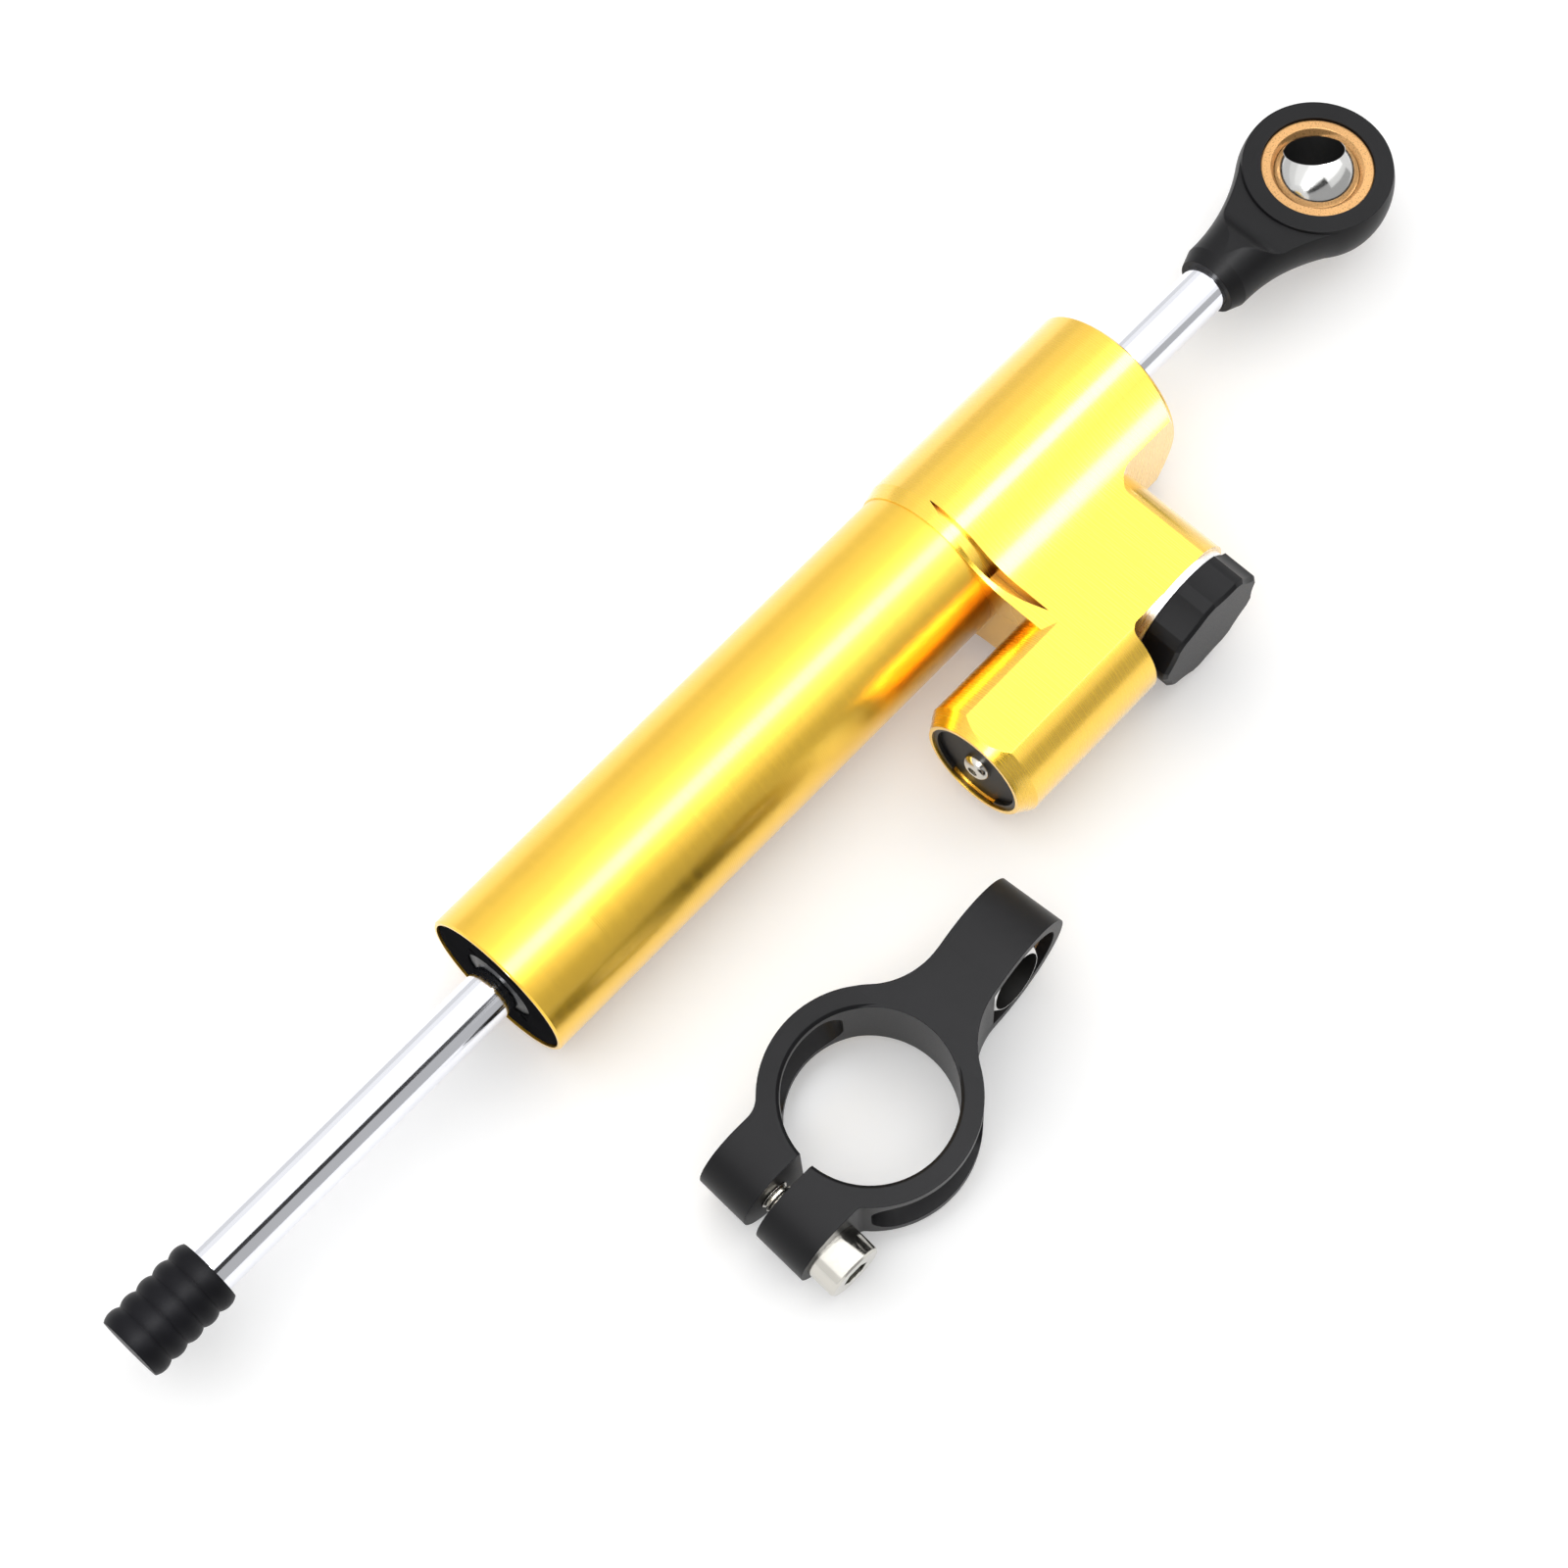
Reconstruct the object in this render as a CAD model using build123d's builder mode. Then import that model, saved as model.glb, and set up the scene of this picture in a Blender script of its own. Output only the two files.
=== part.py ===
import os
from math import asin, atan2, cos, degrees, pi, radians, sin, sqrt

from build123d import *

# Motorcycle steering damper with its separate clamp bracket, in millimetres.
# +X runs along the rod towards the rod end, +Z is up, and the origin is the centre
# of the rod end's ball. The reservoir and the adjuster stand out towards -Y.

# Fits and small shared sizes
running_gap = 0.05
seat_gap = 0.02
overrun = 2.0
edge_break = 0.4
fine_edge = 0.25

# Piston rod and the lengths that show
rod_radius = 5.0
neck_reach = 33.2
exposed_rod_head_side = 29.7
exposed_rod_tube_side = 71.0
stroke_stop_gap = 0.5
rod_thread_depth = 9.5
clip_gap_share = 0.5

# Barrel tube
tube_radius = 16.0
tube_bore_radius = 13.0
tube_length = 115.5
spigot_length = 14.0
spigot_step = 1.0
spigot_ring_section = 0.5
spigot_ring_inset = 3.0
cap_seat_wall = 0.8
cap_seat_length = 10.0

# Head housing
head_radius = 17.1
head_length = 52.5
end_wall = 11.0
lip_inset = 0.8
lip_length = 3.0
end_cone_length = 3.3
end_cone_rise = 4.0

# Web, boss and reservoir of the head housing
web_half_height = 11.8
blend_reach = 20.0
adjuster_from_head_end = 26.8
boss_side = 1.6
boss_reach = 39.8
wall_fillet = 6.0
wall_proud = 0.2
reservoir_offset = 34.8
reservoir_radius = 13.0
reservoir_overhang = 25.7
reservoir_chamfer_length = 3.2
reservoir_chamfer_depth = 2.0
scoop_wall = 0.8
scoop_width = 2.8
scoop_start = 3.4
scoop_end = -26.5
scoop_depth = 3.0
scoop_skin = 1.0

# Rod guides and seals
bush_wall = 1.5
bush_length = 6.0
wiper_wall = 2.6
wiper_length = 2.8
o_ring_section = 1.0
o_ring_side_gap = 0.1

# End cap of the barrel
cap_recess = 0.4
nose_length = 6.0
tool_slot_radius = 11.3
tool_slot_width = 1.8
tool_slot_depth = 2.5
tool_slot_angle = 34.0
pin_hole_radius = 0.9
pin_hole_circle = 8.9
face_turn = 15.0
tool_hole_count = 2

# Piston
piston_length = 16.0
piston_ring_width = 3.0
piston_ring_depth = 1.6
piston_port_radius = 0.75
piston_port_circle = 8.6
piston_port_count = 4
port_margin = 5.0
clip_width = 1.0
clip_depth = 0.7
clip_rise = 1.3

# Rubber end cap on the free end of the rod
rubber_length = 19.0
rubber_radius = 7.0
rubber_groove_depth = 0.6
rubber_rib_count = 5
rubber_end_wall = 3.6

# Rod end
neck_radius = 7.4
neck_tip_radius = 6.3
neck_taper_length = 3.0
neck_drop_start = 26.0
neck_drop_length = 7.5
eye_radius = 15.8
eye_half_height = 5.0
eye_blend_half_height = 4.3
eye_blend_radius = 40.0
race_radius = 11.3
race_half_width = 4.4
race_bevel_depth = 1.3
race_mouth_radius = 9.3
ball_radius = 9.0
ball_bore_radius = 6.0
ball_half_width = 6.6
rod_end_ball_tilt = 30.0
rod_end_ball_azimuth = 54.5

# Adjuster
click_plate_thickness = 1.4
click_plate_radius = 12.5
knob_radius = 13.2
knob_gap = 0.2
knob_wall_gap = 1.4
notch_fillet = 2.0
knob_thickness = 7.5
knob_edge = 0.7
knob_scallop_count = 9
knob_scallop_depth = 0.75
knob_scallop_radius = 16.0
knob_skin = 1.8
spindle_radius = 2.6
spindle_bore_radius = 4.3
spindle_flange_length = 3.0
spindle_flange_depth = 5.0
tongue_side = 2.4
tongue_length = 9.0
tongue_gap = 0.6
needle_radius = 3.0
needle_length = 8.0
needle_tip_radius = 1.3
needle_tip_length = 3.6
needle_depth = 22.3
seat_hole_radius = 1.5
detent_ball_radius = 1.25
detent_circle = 8.6
detent_lift = 0.9
detent_count = 20
detent_dimple_depth = 0.25
detent_hole_depth = 8.0
detent_spring_wire = 0.22
detent_spring_turns = 7

# Reservoir parts
reservoir_bore_radius = 9.4
plug_seat_radius = 10.25
plug_recess = 0.5
plug_thickness = 4.2
plug_clip_width = 0.9
plug_clip_reach = 1.5
plug_clip_rise = 0.55
plug_edge = 0.5
floating_piston_length = 8.0
floating_piston_from_plug = 11.0
reservoir_spring_wire = 0.65
reservoir_spring_turns = 5
reservoir_coil_share = 0.7
fill_screw_radius = 1.5
fill_screw_head_radius = 3.0
fill_screw_head_height = 1.7
fill_screw_socket = 2.0
fill_screw_socket_depth = 1.0
fill_screw_reach = 1.0
fill_screw_flat_share = 0.45
fill_screw_dome_share = 0.78
reservoir_end_wall = 2.8
passage_radius = 1.2
passage_offset = 30.0

# Clamp bracket
ring_bore_radius = 16.1
ring_wall = 4.1
ring_edge = 0.6
arm_taper_start = 14.0
lightening_fillet = 5.0
ring_half_height = 10.0
ear_reach = 20.6
ear_turn = 6.5
ear_half_width = 12.7
split_half_gap = 1.5
bolt_offset = 2.6
arm_reach = 34.5
arm_half_width = 6.5
bracket_eye_radius = 14.0
arm_fillet = 15.0
ear_fillet = 5.0
bolt_side_fillet = 1.5
lightening_half_height = 7.5
lightening_start = 56.0
lightening_ear_gap = 44.5
bracket_ball_tilt = 9.0
bracket_yaw = 4.5
bracket_x = -200.6
bracket_y = -63.6
bolt_radius = 3.0
bolt_pitch = 1.0
bolt_thread_depth = 0.45
bolt_head_radius = 5.8
bolt_head_height = 6.2
bolt_socket = 5.0
bolt_socket_depth = 3.2
bolt_tip_inset = 1.0

# Stations along the rod, from the rod end back to the rubber cap
neck_start_x = -neck_reach
head_end_x = neck_start_x - exposed_rod_head_side
head_start_x = head_end_x - head_length
tube_end_x = head_start_x - tube_length
rubber_inner_x = tube_end_x - exposed_rod_tube_side
rubber_end_x = rubber_inner_x - rubber_length
adjuster_x = head_end_x - adjuster_from_head_end
spigot_end_x = head_start_x + spigot_length
chamber_end_x = head_end_x - end_wall
cap_seat_end_x = tube_end_x + cap_seat_length
nose_end_x = cap_seat_end_x + nose_length
out_stroke = exposed_rod_tube_side - stroke_stop_gap
piston_end_x = adjuster_x - port_margin - out_stroke
piston_start_x = piston_end_x - piston_length
reservoir_start_x = head_start_x - reservoir_overhang
reservoir_end_x = adjuster_x - knob_radius - knob_wall_gap
floor_z = -head_radius

# Radii and places that follow
cap_seat_radius = tube_radius - cap_seat_wall
spigot_radius = tube_radius - spigot_step
bush_radius = rod_radius + running_gap + bush_wall
wiper_radius = rod_radius + running_gap + wiper_wall
rod_hole_radius = rod_radius + edge_break
click_plate_y = -boss_reach
needle_stop = boss_reach - needle_depth
knob_back_y = click_plate_y - click_plate_thickness - knob_gap
knob_face_y = knob_back_y - knob_thickness
plug_face_x = reservoir_start_x + plug_recess
plug_back_x = plug_face_x + plug_clip_width + plug_thickness
reservoir_bore_end_x = reservoir_end_x - reservoir_end_wall
floating_piston_x = plug_back_x + floating_piston_from_plug

os.makedirs("parts", exist_ok=True)

barrel_axis = Axis.X
reservoir_plane = Plane(origin=(0, -reservoir_offset, 0))
reservoir_axis = Axis((0, -reservoir_offset, 0), (1, 0, 0))
adjuster_plane = Plane(origin=(adjuster_x, 0, 0))
adjuster_axis = Axis((adjuster_x, 0, 0), (0, -1, 0))


def finish(part, name):
    """Label a finished piece and write it as its own file."""
    part.label = name
    export_step(part, f"parts/{name}.step")


def turned(points, plane, axis):
    """A turned piece: the closed outline of (along, radius) points spun about an axis."""
    with BuildPart() as piece:
        with BuildSketch(plane):
            with BuildLine():
                Polyline(*points, close=True)
            make_face()
        revolve(axis=axis)
    return piece.part


def turned_ring(start, end, inner, outer, plane=Plane.XY, axis=barrel_axis):
    """A plain ring between two stations along an axis that runs with X."""
    return turned([(start, inner), (end, inner), (end, outer), (start, outer)], plane, axis)


def o_ring(plane, ring_radius, section=o_ring_section):
    """A rubber ring of round section, lying in the given plane."""
    with BuildPart() as ring:
        with BuildSketch(Plane(origin=plane.origin, x_dir=plane.x_dir, z_dir=plane.y_dir)):
            with Locations((ring_radius, 0)):
                Circle(section)
        revolve(axis=Axis(plane.origin, plane.z_dir))
    return ring.part


def along_x(x, y=0.0):
    """The plane across the X direction at one station."""
    return Plane(origin=(x, y, 0), x_dir=(0, 1, 0), z_dir=(1, 0, 0))


# Barrel tube: turned, with a seat for the end cap and a spigot for the head
with BuildPart() as barrel_tube:
    with BuildSketch(Plane.XY):
        with BuildLine():
            Polyline(
                (tube_end_x, cap_seat_radius),
                (tube_end_x, tube_radius - fine_edge),
                (tube_end_x + fine_edge, tube_radius),
                (head_start_x, tube_radius),
                (head_start_x, spigot_radius),
                (spigot_end_x, spigot_radius),
                (spigot_end_x, tube_bore_radius),
                (cap_seat_end_x, tube_bore_radius),
                (cap_seat_end_x, cap_seat_radius),
                close=True,
            )
        make_face()
    revolve(axis=barrel_axis)
finish(barrel_tube.part, "barrel_tube")

# Groove sizes for the round-section rings
ring_depth = 2 * o_ring_section + 2 * seat_gap
ring_width = 2 * o_ring_section + o_ring_side_gap

# End cap of the barrel: a screwed-in gland with tool slots, a seal pocket and a guide pocket
cap_face_x = tube_end_x + cap_recess
cap_groove_x = nose_end_x - nose_length / 2
with BuildPart() as end_cap:
    with BuildSketch(Plane.XY):
        with BuildLine():
            Polyline(
                (cap_face_x, wiper_radius),
                (cap_face_x, cap_seat_radius - seat_gap - edge_break),
                (cap_face_x + edge_break, cap_seat_radius - seat_gap),
                (cap_seat_end_x, cap_seat_radius - seat_gap),
                (cap_seat_end_x, tube_bore_radius - seat_gap),
                (nose_end_x, tube_bore_radius - seat_gap),
                (nose_end_x, bush_radius),
                (nose_end_x - bush_length, bush_radius),
                (nose_end_x - bush_length, rod_hole_radius),
                (cap_face_x + wiper_length, rod_hole_radius),
                (cap_face_x + wiper_length, wiper_radius),
                close=True,
            )
        make_face()
    revolve(axis=barrel_axis)
    with BuildSketch(along_x(cap_groove_x - ring_width / 2)):
        Circle(tube_bore_radius)
        Circle(tube_bore_radius - ring_depth, mode=Mode.SUBTRACT)
    extrude(amount=ring_width, mode=Mode.SUBTRACT)
    with BuildSketch(along_x(cap_face_x)):
        for turn in range(tool_hole_count):
            slot_start = face_turn + turn * 360 / tool_hole_count - tool_slot_angle / 2
            slot_line = CenterArc((0, 0), tool_slot_radius, slot_start, tool_slot_angle, mode=Mode.PRIVATE)
            SlotArc(slot_line, height=tool_slot_width)
        with PolarLocations(pin_hole_circle, tool_hole_count, start_angle=face_turn + tool_slot_angle):
            Circle(pin_hole_radius)
    extrude(amount=tool_slot_depth, mode=Mode.SUBTRACT)
finish(end_cap.part, "end_cap")
finish(o_ring(along_x(cap_groove_x), tube_bore_radius - o_ring_section - seat_gap), "end_cap_o_ring")


# Rod guides: bronze bushes, one in the end cap and one in the head
finish(turned_ring(nose_end_x - bush_length, nose_end_x, rod_radius + running_gap,
                   bush_radius - seat_gap), "end_cap_bush")
finish(turned_ring(chamber_end_x, chamber_end_x + bush_length, rod_radius + running_gap,
                   bush_radius - seat_gap), "head_bush")


def wiper(face_x, inward, name):
    """A rubber wiper seal around the rod: a flat ring with a raised lip towards the open side."""
    deep_x = face_x + inward * wiper_length
    lip_x = face_x + inward * edge_break
    lip_radius = (wiper_radius + rod_radius) / 2
    points = [
        (deep_x, rod_radius + running_gap),
        (face_x, rod_radius + running_gap),
        (lip_x, lip_radius),
        (lip_x, wiper_radius - seat_gap),
        (deep_x, wiper_radius - seat_gap),
    ]
    finish(turned(points, Plane.XY, barrel_axis), name)


wiper(cap_face_x, 1, "end_cap_wiper")
wiper(head_end_x, -1, "head_wiper")

# Head housing section: the head circle, the sweep down to the web and the web's flat top
blend_radius = (blend_reach**2 + web_half_height**2 - head_radius**2) / (2 * (head_radius - web_half_height))
blend_centre = Vector(-blend_reach, web_half_height + blend_radius)
blend_start = blend_centre.normalized() * head_radius
blend_middle_angle = (atan2(-blend_centre.Y, -blend_centre.X) - pi / 2) / 2
blend_middle = blend_centre + Vector(cos(blend_middle_angle), sin(blend_middle_angle)) * blend_radius


def head_section(reach):
    """The section across the barrel: its half is drawn above the middle line and mirrored below it."""
    with BuildSketch() as section:
        with BuildLine():
            Line((0, 0), blend_start)
            ThreePointArc(blend_start, blend_middle, (-blend_reach, web_half_height))
            Polyline((-blend_reach, web_half_height), (-reach, web_half_height), (-reach, 0), (0, 0))
        make_face()
        mirror(about=Plane.XZ)
        Circle(head_radius)
    return section.sketch


# Web with its lip: the edge of the face towards the tube is bevelled all along the section
with BuildPart() as web:
    with BuildSketch(along_x(head_start_x)):
        add(head_section(boss_reach))
    extrude(amount=adjuster_x - head_start_x)
    end_face = web.faces().sort_by(Axis.X)[0]
    chamfer(end_face.outer_wire().edges(), length=lip_inset, length2=lip_length, reference=end_face)

# Adjuster boss: a cylinder, and the plate that joins it to the head by an upright rounded wall
boss_radius = web_half_height + boss_side
boss_flat_half = sqrt(boss_radius**2 - web_half_height**2)
wall_x = adjuster_x + boss_flat_half - edge_break
wall_y = -head_radius - wall_proud
plate_end_x = head_end_x - edge_break
arc_inset_share = 1 - sqrt(0.5)
wall_fillet_inset = wall_fillet * arc_inset_share
with BuildPart() as boss:
    with BuildSketch(Plane.XY.offset(-head_radius)):
        with BuildLine():
            Polyline(
                (wall_x, wall_y - wall_fillet),
                (wall_x, -boss_reach),
                (adjuster_x, -boss_reach),
                (adjuster_x, 0),
                (plate_end_x, 0),
                (plate_end_x, wall_y),
                (wall_x + wall_fillet, wall_y),
            )
            ThreePointArc(
                (wall_x + wall_fillet, wall_y),
                (wall_x + wall_fillet_inset, wall_y - wall_fillet_inset),
                (wall_x, wall_y - wall_fillet),
            )
        make_face()
    extrude(amount=2 * head_radius)
    with BuildSketch(Plane(origin=(adjuster_x, -boss_reach, 0), x_dir=(1, 0, 0), z_dir=(0, 1, 0))):
        Circle(boss_radius)
    extrude(amount=boss_reach)
    with BuildSketch(along_x(head_start_x)):
        add(head_section(boss_reach))
    extrude(amount=head_length, mode=Mode.INTERSECT)
    # The plate's corner at the head's end is turned down to the round rim
    with BuildSketch(Plane.XY):
        with BuildLine():
            Polyline(
                (head_start_x, 0),
                (plate_end_x, 0),
                (plate_end_x, head_radius - fine_edge),
                (plate_end_x - end_cone_length, head_radius + end_cone_rise),
                (plate_end_x - end_cone_length, 2 * boss_reach),
                (head_start_x, 2 * boss_reach),
                close=True,
            )
        make_face()
    revolve(axis=barrel_axis, mode=Mode.INTERSECT)

# Reservoir: a cylinder with a bevelled end and flats level with the web
with BuildPart() as reservoir:
    with BuildSketch(reservoir_plane):
        with BuildLine():
            Polyline(
                (reservoir_start_x, 0),
                (reservoir_start_x, reservoir_radius - reservoir_chamfer_depth),
                (reservoir_start_x + reservoir_chamfer_length, reservoir_radius),
                (reservoir_end_x, reservoir_radius),
                (reservoir_end_x, 0),
                close=True,
            )
        make_face()
    revolve(axis=reservoir_axis)
    with BuildSketch(along_x(reservoir_start_x, -reservoir_offset)):
        Rectangle(2 * reservoir_radius, 2 * web_half_height)
    extrude(amount=reservoir_end_x - reservoir_start_x, mode=Mode.INTERSECT)

# Scooped pocket behind the lip: straight on its far side, bowed on the lip's side
scoop_middle_y = (scoop_start + scoop_end) / 2
scoop_near_x = head_start_x + scoop_wall
scoop_far_x = scoop_near_x + scoop_width
with BuildPart() as scoop:
    with BuildSketch(Plane.XY.offset(web_half_height - scoop_depth)):
        with BuildLine():
            ThreePointArc((scoop_far_x, scoop_start), (scoop_near_x, scoop_middle_y), (scoop_far_x, scoop_end))
            Line((scoop_far_x, scoop_end), (scoop_far_x, scoop_start))
        make_face()
    extrude(amount=head_radius)
    with BuildSketch(along_x(head_start_x)):
        Circle(spigot_radius + seat_gap + scoop_skin)
    extrude(amount=scoop_far_x - head_start_x + overrun, mode=Mode.SUBTRACT)

# Rounded inner corner between the reservoir's end and the boss, as deep as the step there allows
notch_radius = min(notch_fillet, (reservoir_offset + reservoir_radius - boss_reach) / 2)
notch_arc_inset = notch_radius * arc_inset_share
with BuildPart() as notch_corner:
    with BuildSketch(Plane.XY.offset(-web_half_height)):
        with BuildLine():
            Polyline(
                (reservoir_end_x, -boss_reach - notch_radius),
                (reservoir_end_x - edge_break, -boss_reach - notch_radius),
                (reservoir_end_x - edge_break, -boss_reach + edge_break),
                (reservoir_end_x + notch_radius, -boss_reach + edge_break),
                (reservoir_end_x + notch_radius, -boss_reach),
            )
            ThreePointArc(
                (reservoir_end_x + notch_radius, -boss_reach),
                (reservoir_end_x + notch_arc_inset, -boss_reach - notch_arc_inset),
                (reservoir_end_x, -boss_reach - notch_radius),
            )
        make_face()
    extrude(amount=2 * web_half_height)
    with BuildSketch(along_x(reservoir_start_x, -reservoir_offset)):
        Circle(reservoir_radius)
    extrude(amount=adjuster_x - reservoir_start_x, mode=Mode.INTERSECT)

click_hole_x = adjuster_x - detent_circle
spindle_clip_y = -boss_reach + spindle_flange_depth - clip_width
head_bore_radius = tube_bore_radius
spigot_groove_x = spigot_end_x - spigot_ring_inset

with BuildPart() as head:
    with BuildSketch(along_x(head_start_x + lip_length)):
        Circle(head_radius)
    extrude(amount=head_length - lip_length)
    rim = head.faces().sort_by(Axis.X)[-1].outer_wire().edges()
    chamfer(rim, length=edge_break)
    add(web.part)
    add(boss.part)
    add(reservoir.part)
    add(notch_corner.part)
    add(scoop.part, mode=Mode.SUBTRACT)
    # Main bore with the tube's seat, the rod hole and the pockets of the guide and the seal
    with BuildSketch(Plane.XY):
        with BuildLine():
            Polyline(
                (head_start_x - overrun, 0),
                (head_start_x - overrun, spigot_radius + seat_gap),
                (spigot_end_x, spigot_radius + seat_gap),
                (spigot_end_x, head_bore_radius),
                (chamber_end_x, head_bore_radius),
                (chamber_end_x, bush_radius),
                (chamber_end_x + bush_length, bush_radius),
                (chamber_end_x + bush_length, rod_hole_radius),
                (head_end_x - wiper_length, rod_hole_radius),
                (head_end_x - wiper_length, wiper_radius),
                (head_end_x + overrun, wiper_radius),
                (head_end_x + overrun, 0),
                close=True,
            )
        make_face()
    revolve(axis=barrel_axis, mode=Mode.SUBTRACT)
    # Groove of the ring that seals the tube's spigot
    with BuildSketch(along_x(spigot_groove_x)):
        Circle(spigot_radius + 2 * spigot_ring_section + 2 * seat_gap)
        Circle(head_bore_radius, mode=Mode.SUBTRACT)
    extrude(amount=2 * spigot_ring_section + o_ring_side_gap, mode=Mode.SUBTRACT)
    # Stepped adjuster bore with the groove of the spindle's clip
    with BuildSketch(adjuster_plane):
        with BuildLine():
            Polyline(
                (0, -boss_reach - overrun),
                (spindle_bore_radius, -boss_reach - overrun),
                (spindle_bore_radius, spindle_clip_y),
                (spindle_bore_radius + clip_depth, spindle_clip_y),
                (spindle_bore_radius + clip_depth, spindle_clip_y + clip_width),
                (spindle_bore_radius, spindle_clip_y + clip_width),
                (spindle_bore_radius, -needle_stop - needle_length),
                (needle_radius + running_gap, -needle_stop - needle_length),
                (needle_radius + running_gap, -needle_stop),
                (seat_hole_radius, -needle_stop),
                (seat_hole_radius, 0),
                (0, 0),
                close=True,
            )
        make_face()
    revolve(axis=adjuster_axis, mode=Mode.SUBTRACT)
    # Pocket of the click ball and its spring
    with BuildSketch(Plane(origin=(click_hole_x, -boss_reach, 0), x_dir=(1, 0, 0), z_dir=(0, 1, 0))):
        Circle(detent_ball_radius + running_gap)
    extrude(amount=detent_hole_depth, mode=Mode.SUBTRACT)
    # Reservoir bore with the plug's seat and the groove of its clip
    with BuildSketch(reservoir_plane):
        with BuildLine():
            Polyline(
                (reservoir_start_x - overrun, 0),
                (reservoir_start_x - overrun, plug_seat_radius),
                (plug_face_x, plug_seat_radius),
                (plug_face_x, plug_seat_radius + plug_clip_rise),
                (plug_face_x + plug_clip_width, plug_seat_radius + plug_clip_rise),
                (plug_face_x + plug_clip_width, plug_seat_radius),
                (plug_back_x, plug_seat_radius),
                (plug_back_x, reservoir_bore_radius),
                (reservoir_bore_end_x, reservoir_bore_radius),
                (reservoir_bore_end_x, 0),
                close=True,
            )
        make_face()
    revolve(axis=reservoir_axis, mode=Mode.SUBTRACT)
    # Oil passage from the reservoir to the adjuster bore
    with BuildSketch(along_x(reservoir_bore_end_x, -passage_offset)):
        Circle(passage_radius)
    extrude(amount=adjuster_x - reservoir_bore_end_x, mode=Mode.SUBTRACT)
finish(head.part, "head_housing")

# Piston rod: plain ground bar with two clip grooves beside the piston
rod_start_x = rubber_end_x + rubber_end_wall
rod_finish_x = neck_start_x + rod_thread_depth
clip_stations = (piston_start_x - clip_width, piston_end_x)
with BuildPart() as piston_rod:
    with BuildSketch(along_x(rod_start_x)):
        Circle(rod_radius)
    extrude(amount=rod_finish_x - rod_start_x)
    chamfer(piston_rod.edges(), length=edge_break)
    for station in clip_stations:
        with BuildSketch(along_x(station)):
            Circle(rod_radius + clip_rise)
            Circle(rod_radius - clip_depth, mode=Mode.SUBTRACT)
        extrude(amount=clip_width, mode=Mode.SUBTRACT)
finish(piston_rod.part, "piston_rod")

# Clips that hold the piston on the rod: two open rings
clip_gap_half = rod_radius * clip_gap_share
with BuildPart() as piston_clips:
    for station in clip_stations:
        with BuildSketch(along_x(station)):
            Circle(rod_radius + clip_rise)
            Circle(rod_radius - clip_depth + seat_gap, mode=Mode.SUBTRACT)
            with Locations((rod_radius, 0)):
                Rectangle(2 * rod_radius, 2 * clip_gap_half, mode=Mode.SUBTRACT)
        extrude(amount=clip_width)
finish(piston_clips.part, "piston_clips")

# Piston: turned disc with a groove for its ring and four bleed ports
piston_middle_x = (piston_start_x + piston_end_x) / 2
with BuildPart() as piston:
    with BuildSketch(along_x(piston_start_x)):
        Circle(tube_bore_radius - running_gap)
        Circle(rod_radius + running_gap, mode=Mode.SUBTRACT)
        with PolarLocations(piston_port_circle, piston_port_count):
            Circle(piston_port_radius, mode=Mode.SUBTRACT)
    extrude(amount=piston_length)
    with BuildSketch(along_x(piston_middle_x - piston_ring_width / 2)):
        Circle(tube_bore_radius)
        Circle(tube_bore_radius - piston_ring_depth, mode=Mode.SUBTRACT)
    extrude(amount=piston_ring_width, mode=Mode.SUBTRACT)
finish(piston.part, "piston")
finish(turned_ring(piston_middle_x - piston_ring_width / 2 + seat_gap,
                   piston_middle_x + piston_ring_width / 2 - seat_gap,
                   tube_bore_radius - piston_ring_depth + seat_gap,
                   tube_bore_radius - running_gap / 2), "piston_ring")

# Ring between the tube's spigot and the head
finish(o_ring(along_x(spigot_groove_x + spigot_ring_section + o_ring_side_gap / 2),
              spigot_radius + spigot_ring_section + seat_gap, spigot_ring_section), "tube_o_ring")

# Rubber end cap with rounded ribs
rib_length = rubber_length / rubber_rib_count
with BuildPart() as rubber_cap:
    with BuildSketch(Plane.XY):
        with BuildLine():
            rib_foot_radius = rubber_radius - rubber_groove_depth
            Polyline((rubber_inner_x, 0), (rubber_end_x, 0), (rubber_end_x, rib_foot_radius))
            for rib in range(rubber_rib_count):
                rib_start_x = rubber_end_x + rib * rib_length
                ThreePointArc(
                    (rib_start_x, rib_foot_radius),
                    (rib_start_x + rib_length / 2, rubber_radius),
                    (rib_start_x + rib_length, rib_foot_radius),
                )
            Line((rubber_inner_x, rib_foot_radius), (rubber_inner_x, 0))
        make_face()
    revolve(axis=barrel_axis)
    with BuildSketch(along_x(rod_start_x)):
        Circle(rod_radius + seat_gap)
    extrude(amount=rubber_inner_x - rod_start_x, mode=Mode.SUBTRACT)
finish(rubber_cap.part, "rubber_cap")

# Rod end: an eye blended into a round neck that screws onto the rod
blend_x = -sqrt((eye_radius + eye_blend_radius) ** 2 - (neck_radius + eye_blend_radius) ** 2)
blend_y = neck_radius + eye_blend_radius
eye_touch_share = eye_radius / (eye_radius + eye_blend_radius)
eye_touch = (blend_x * eye_touch_share, blend_y * eye_touch_share)
eye_blend_angle = (atan2(eye_touch[1] - blend_y, eye_touch[0] - blend_x) - pi / 2) / 2
eye_blend_middle = (
    blend_x + eye_blend_radius * cos(eye_blend_angle),
    blend_y + eye_blend_radius * sin(eye_blend_angle),
)
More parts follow.
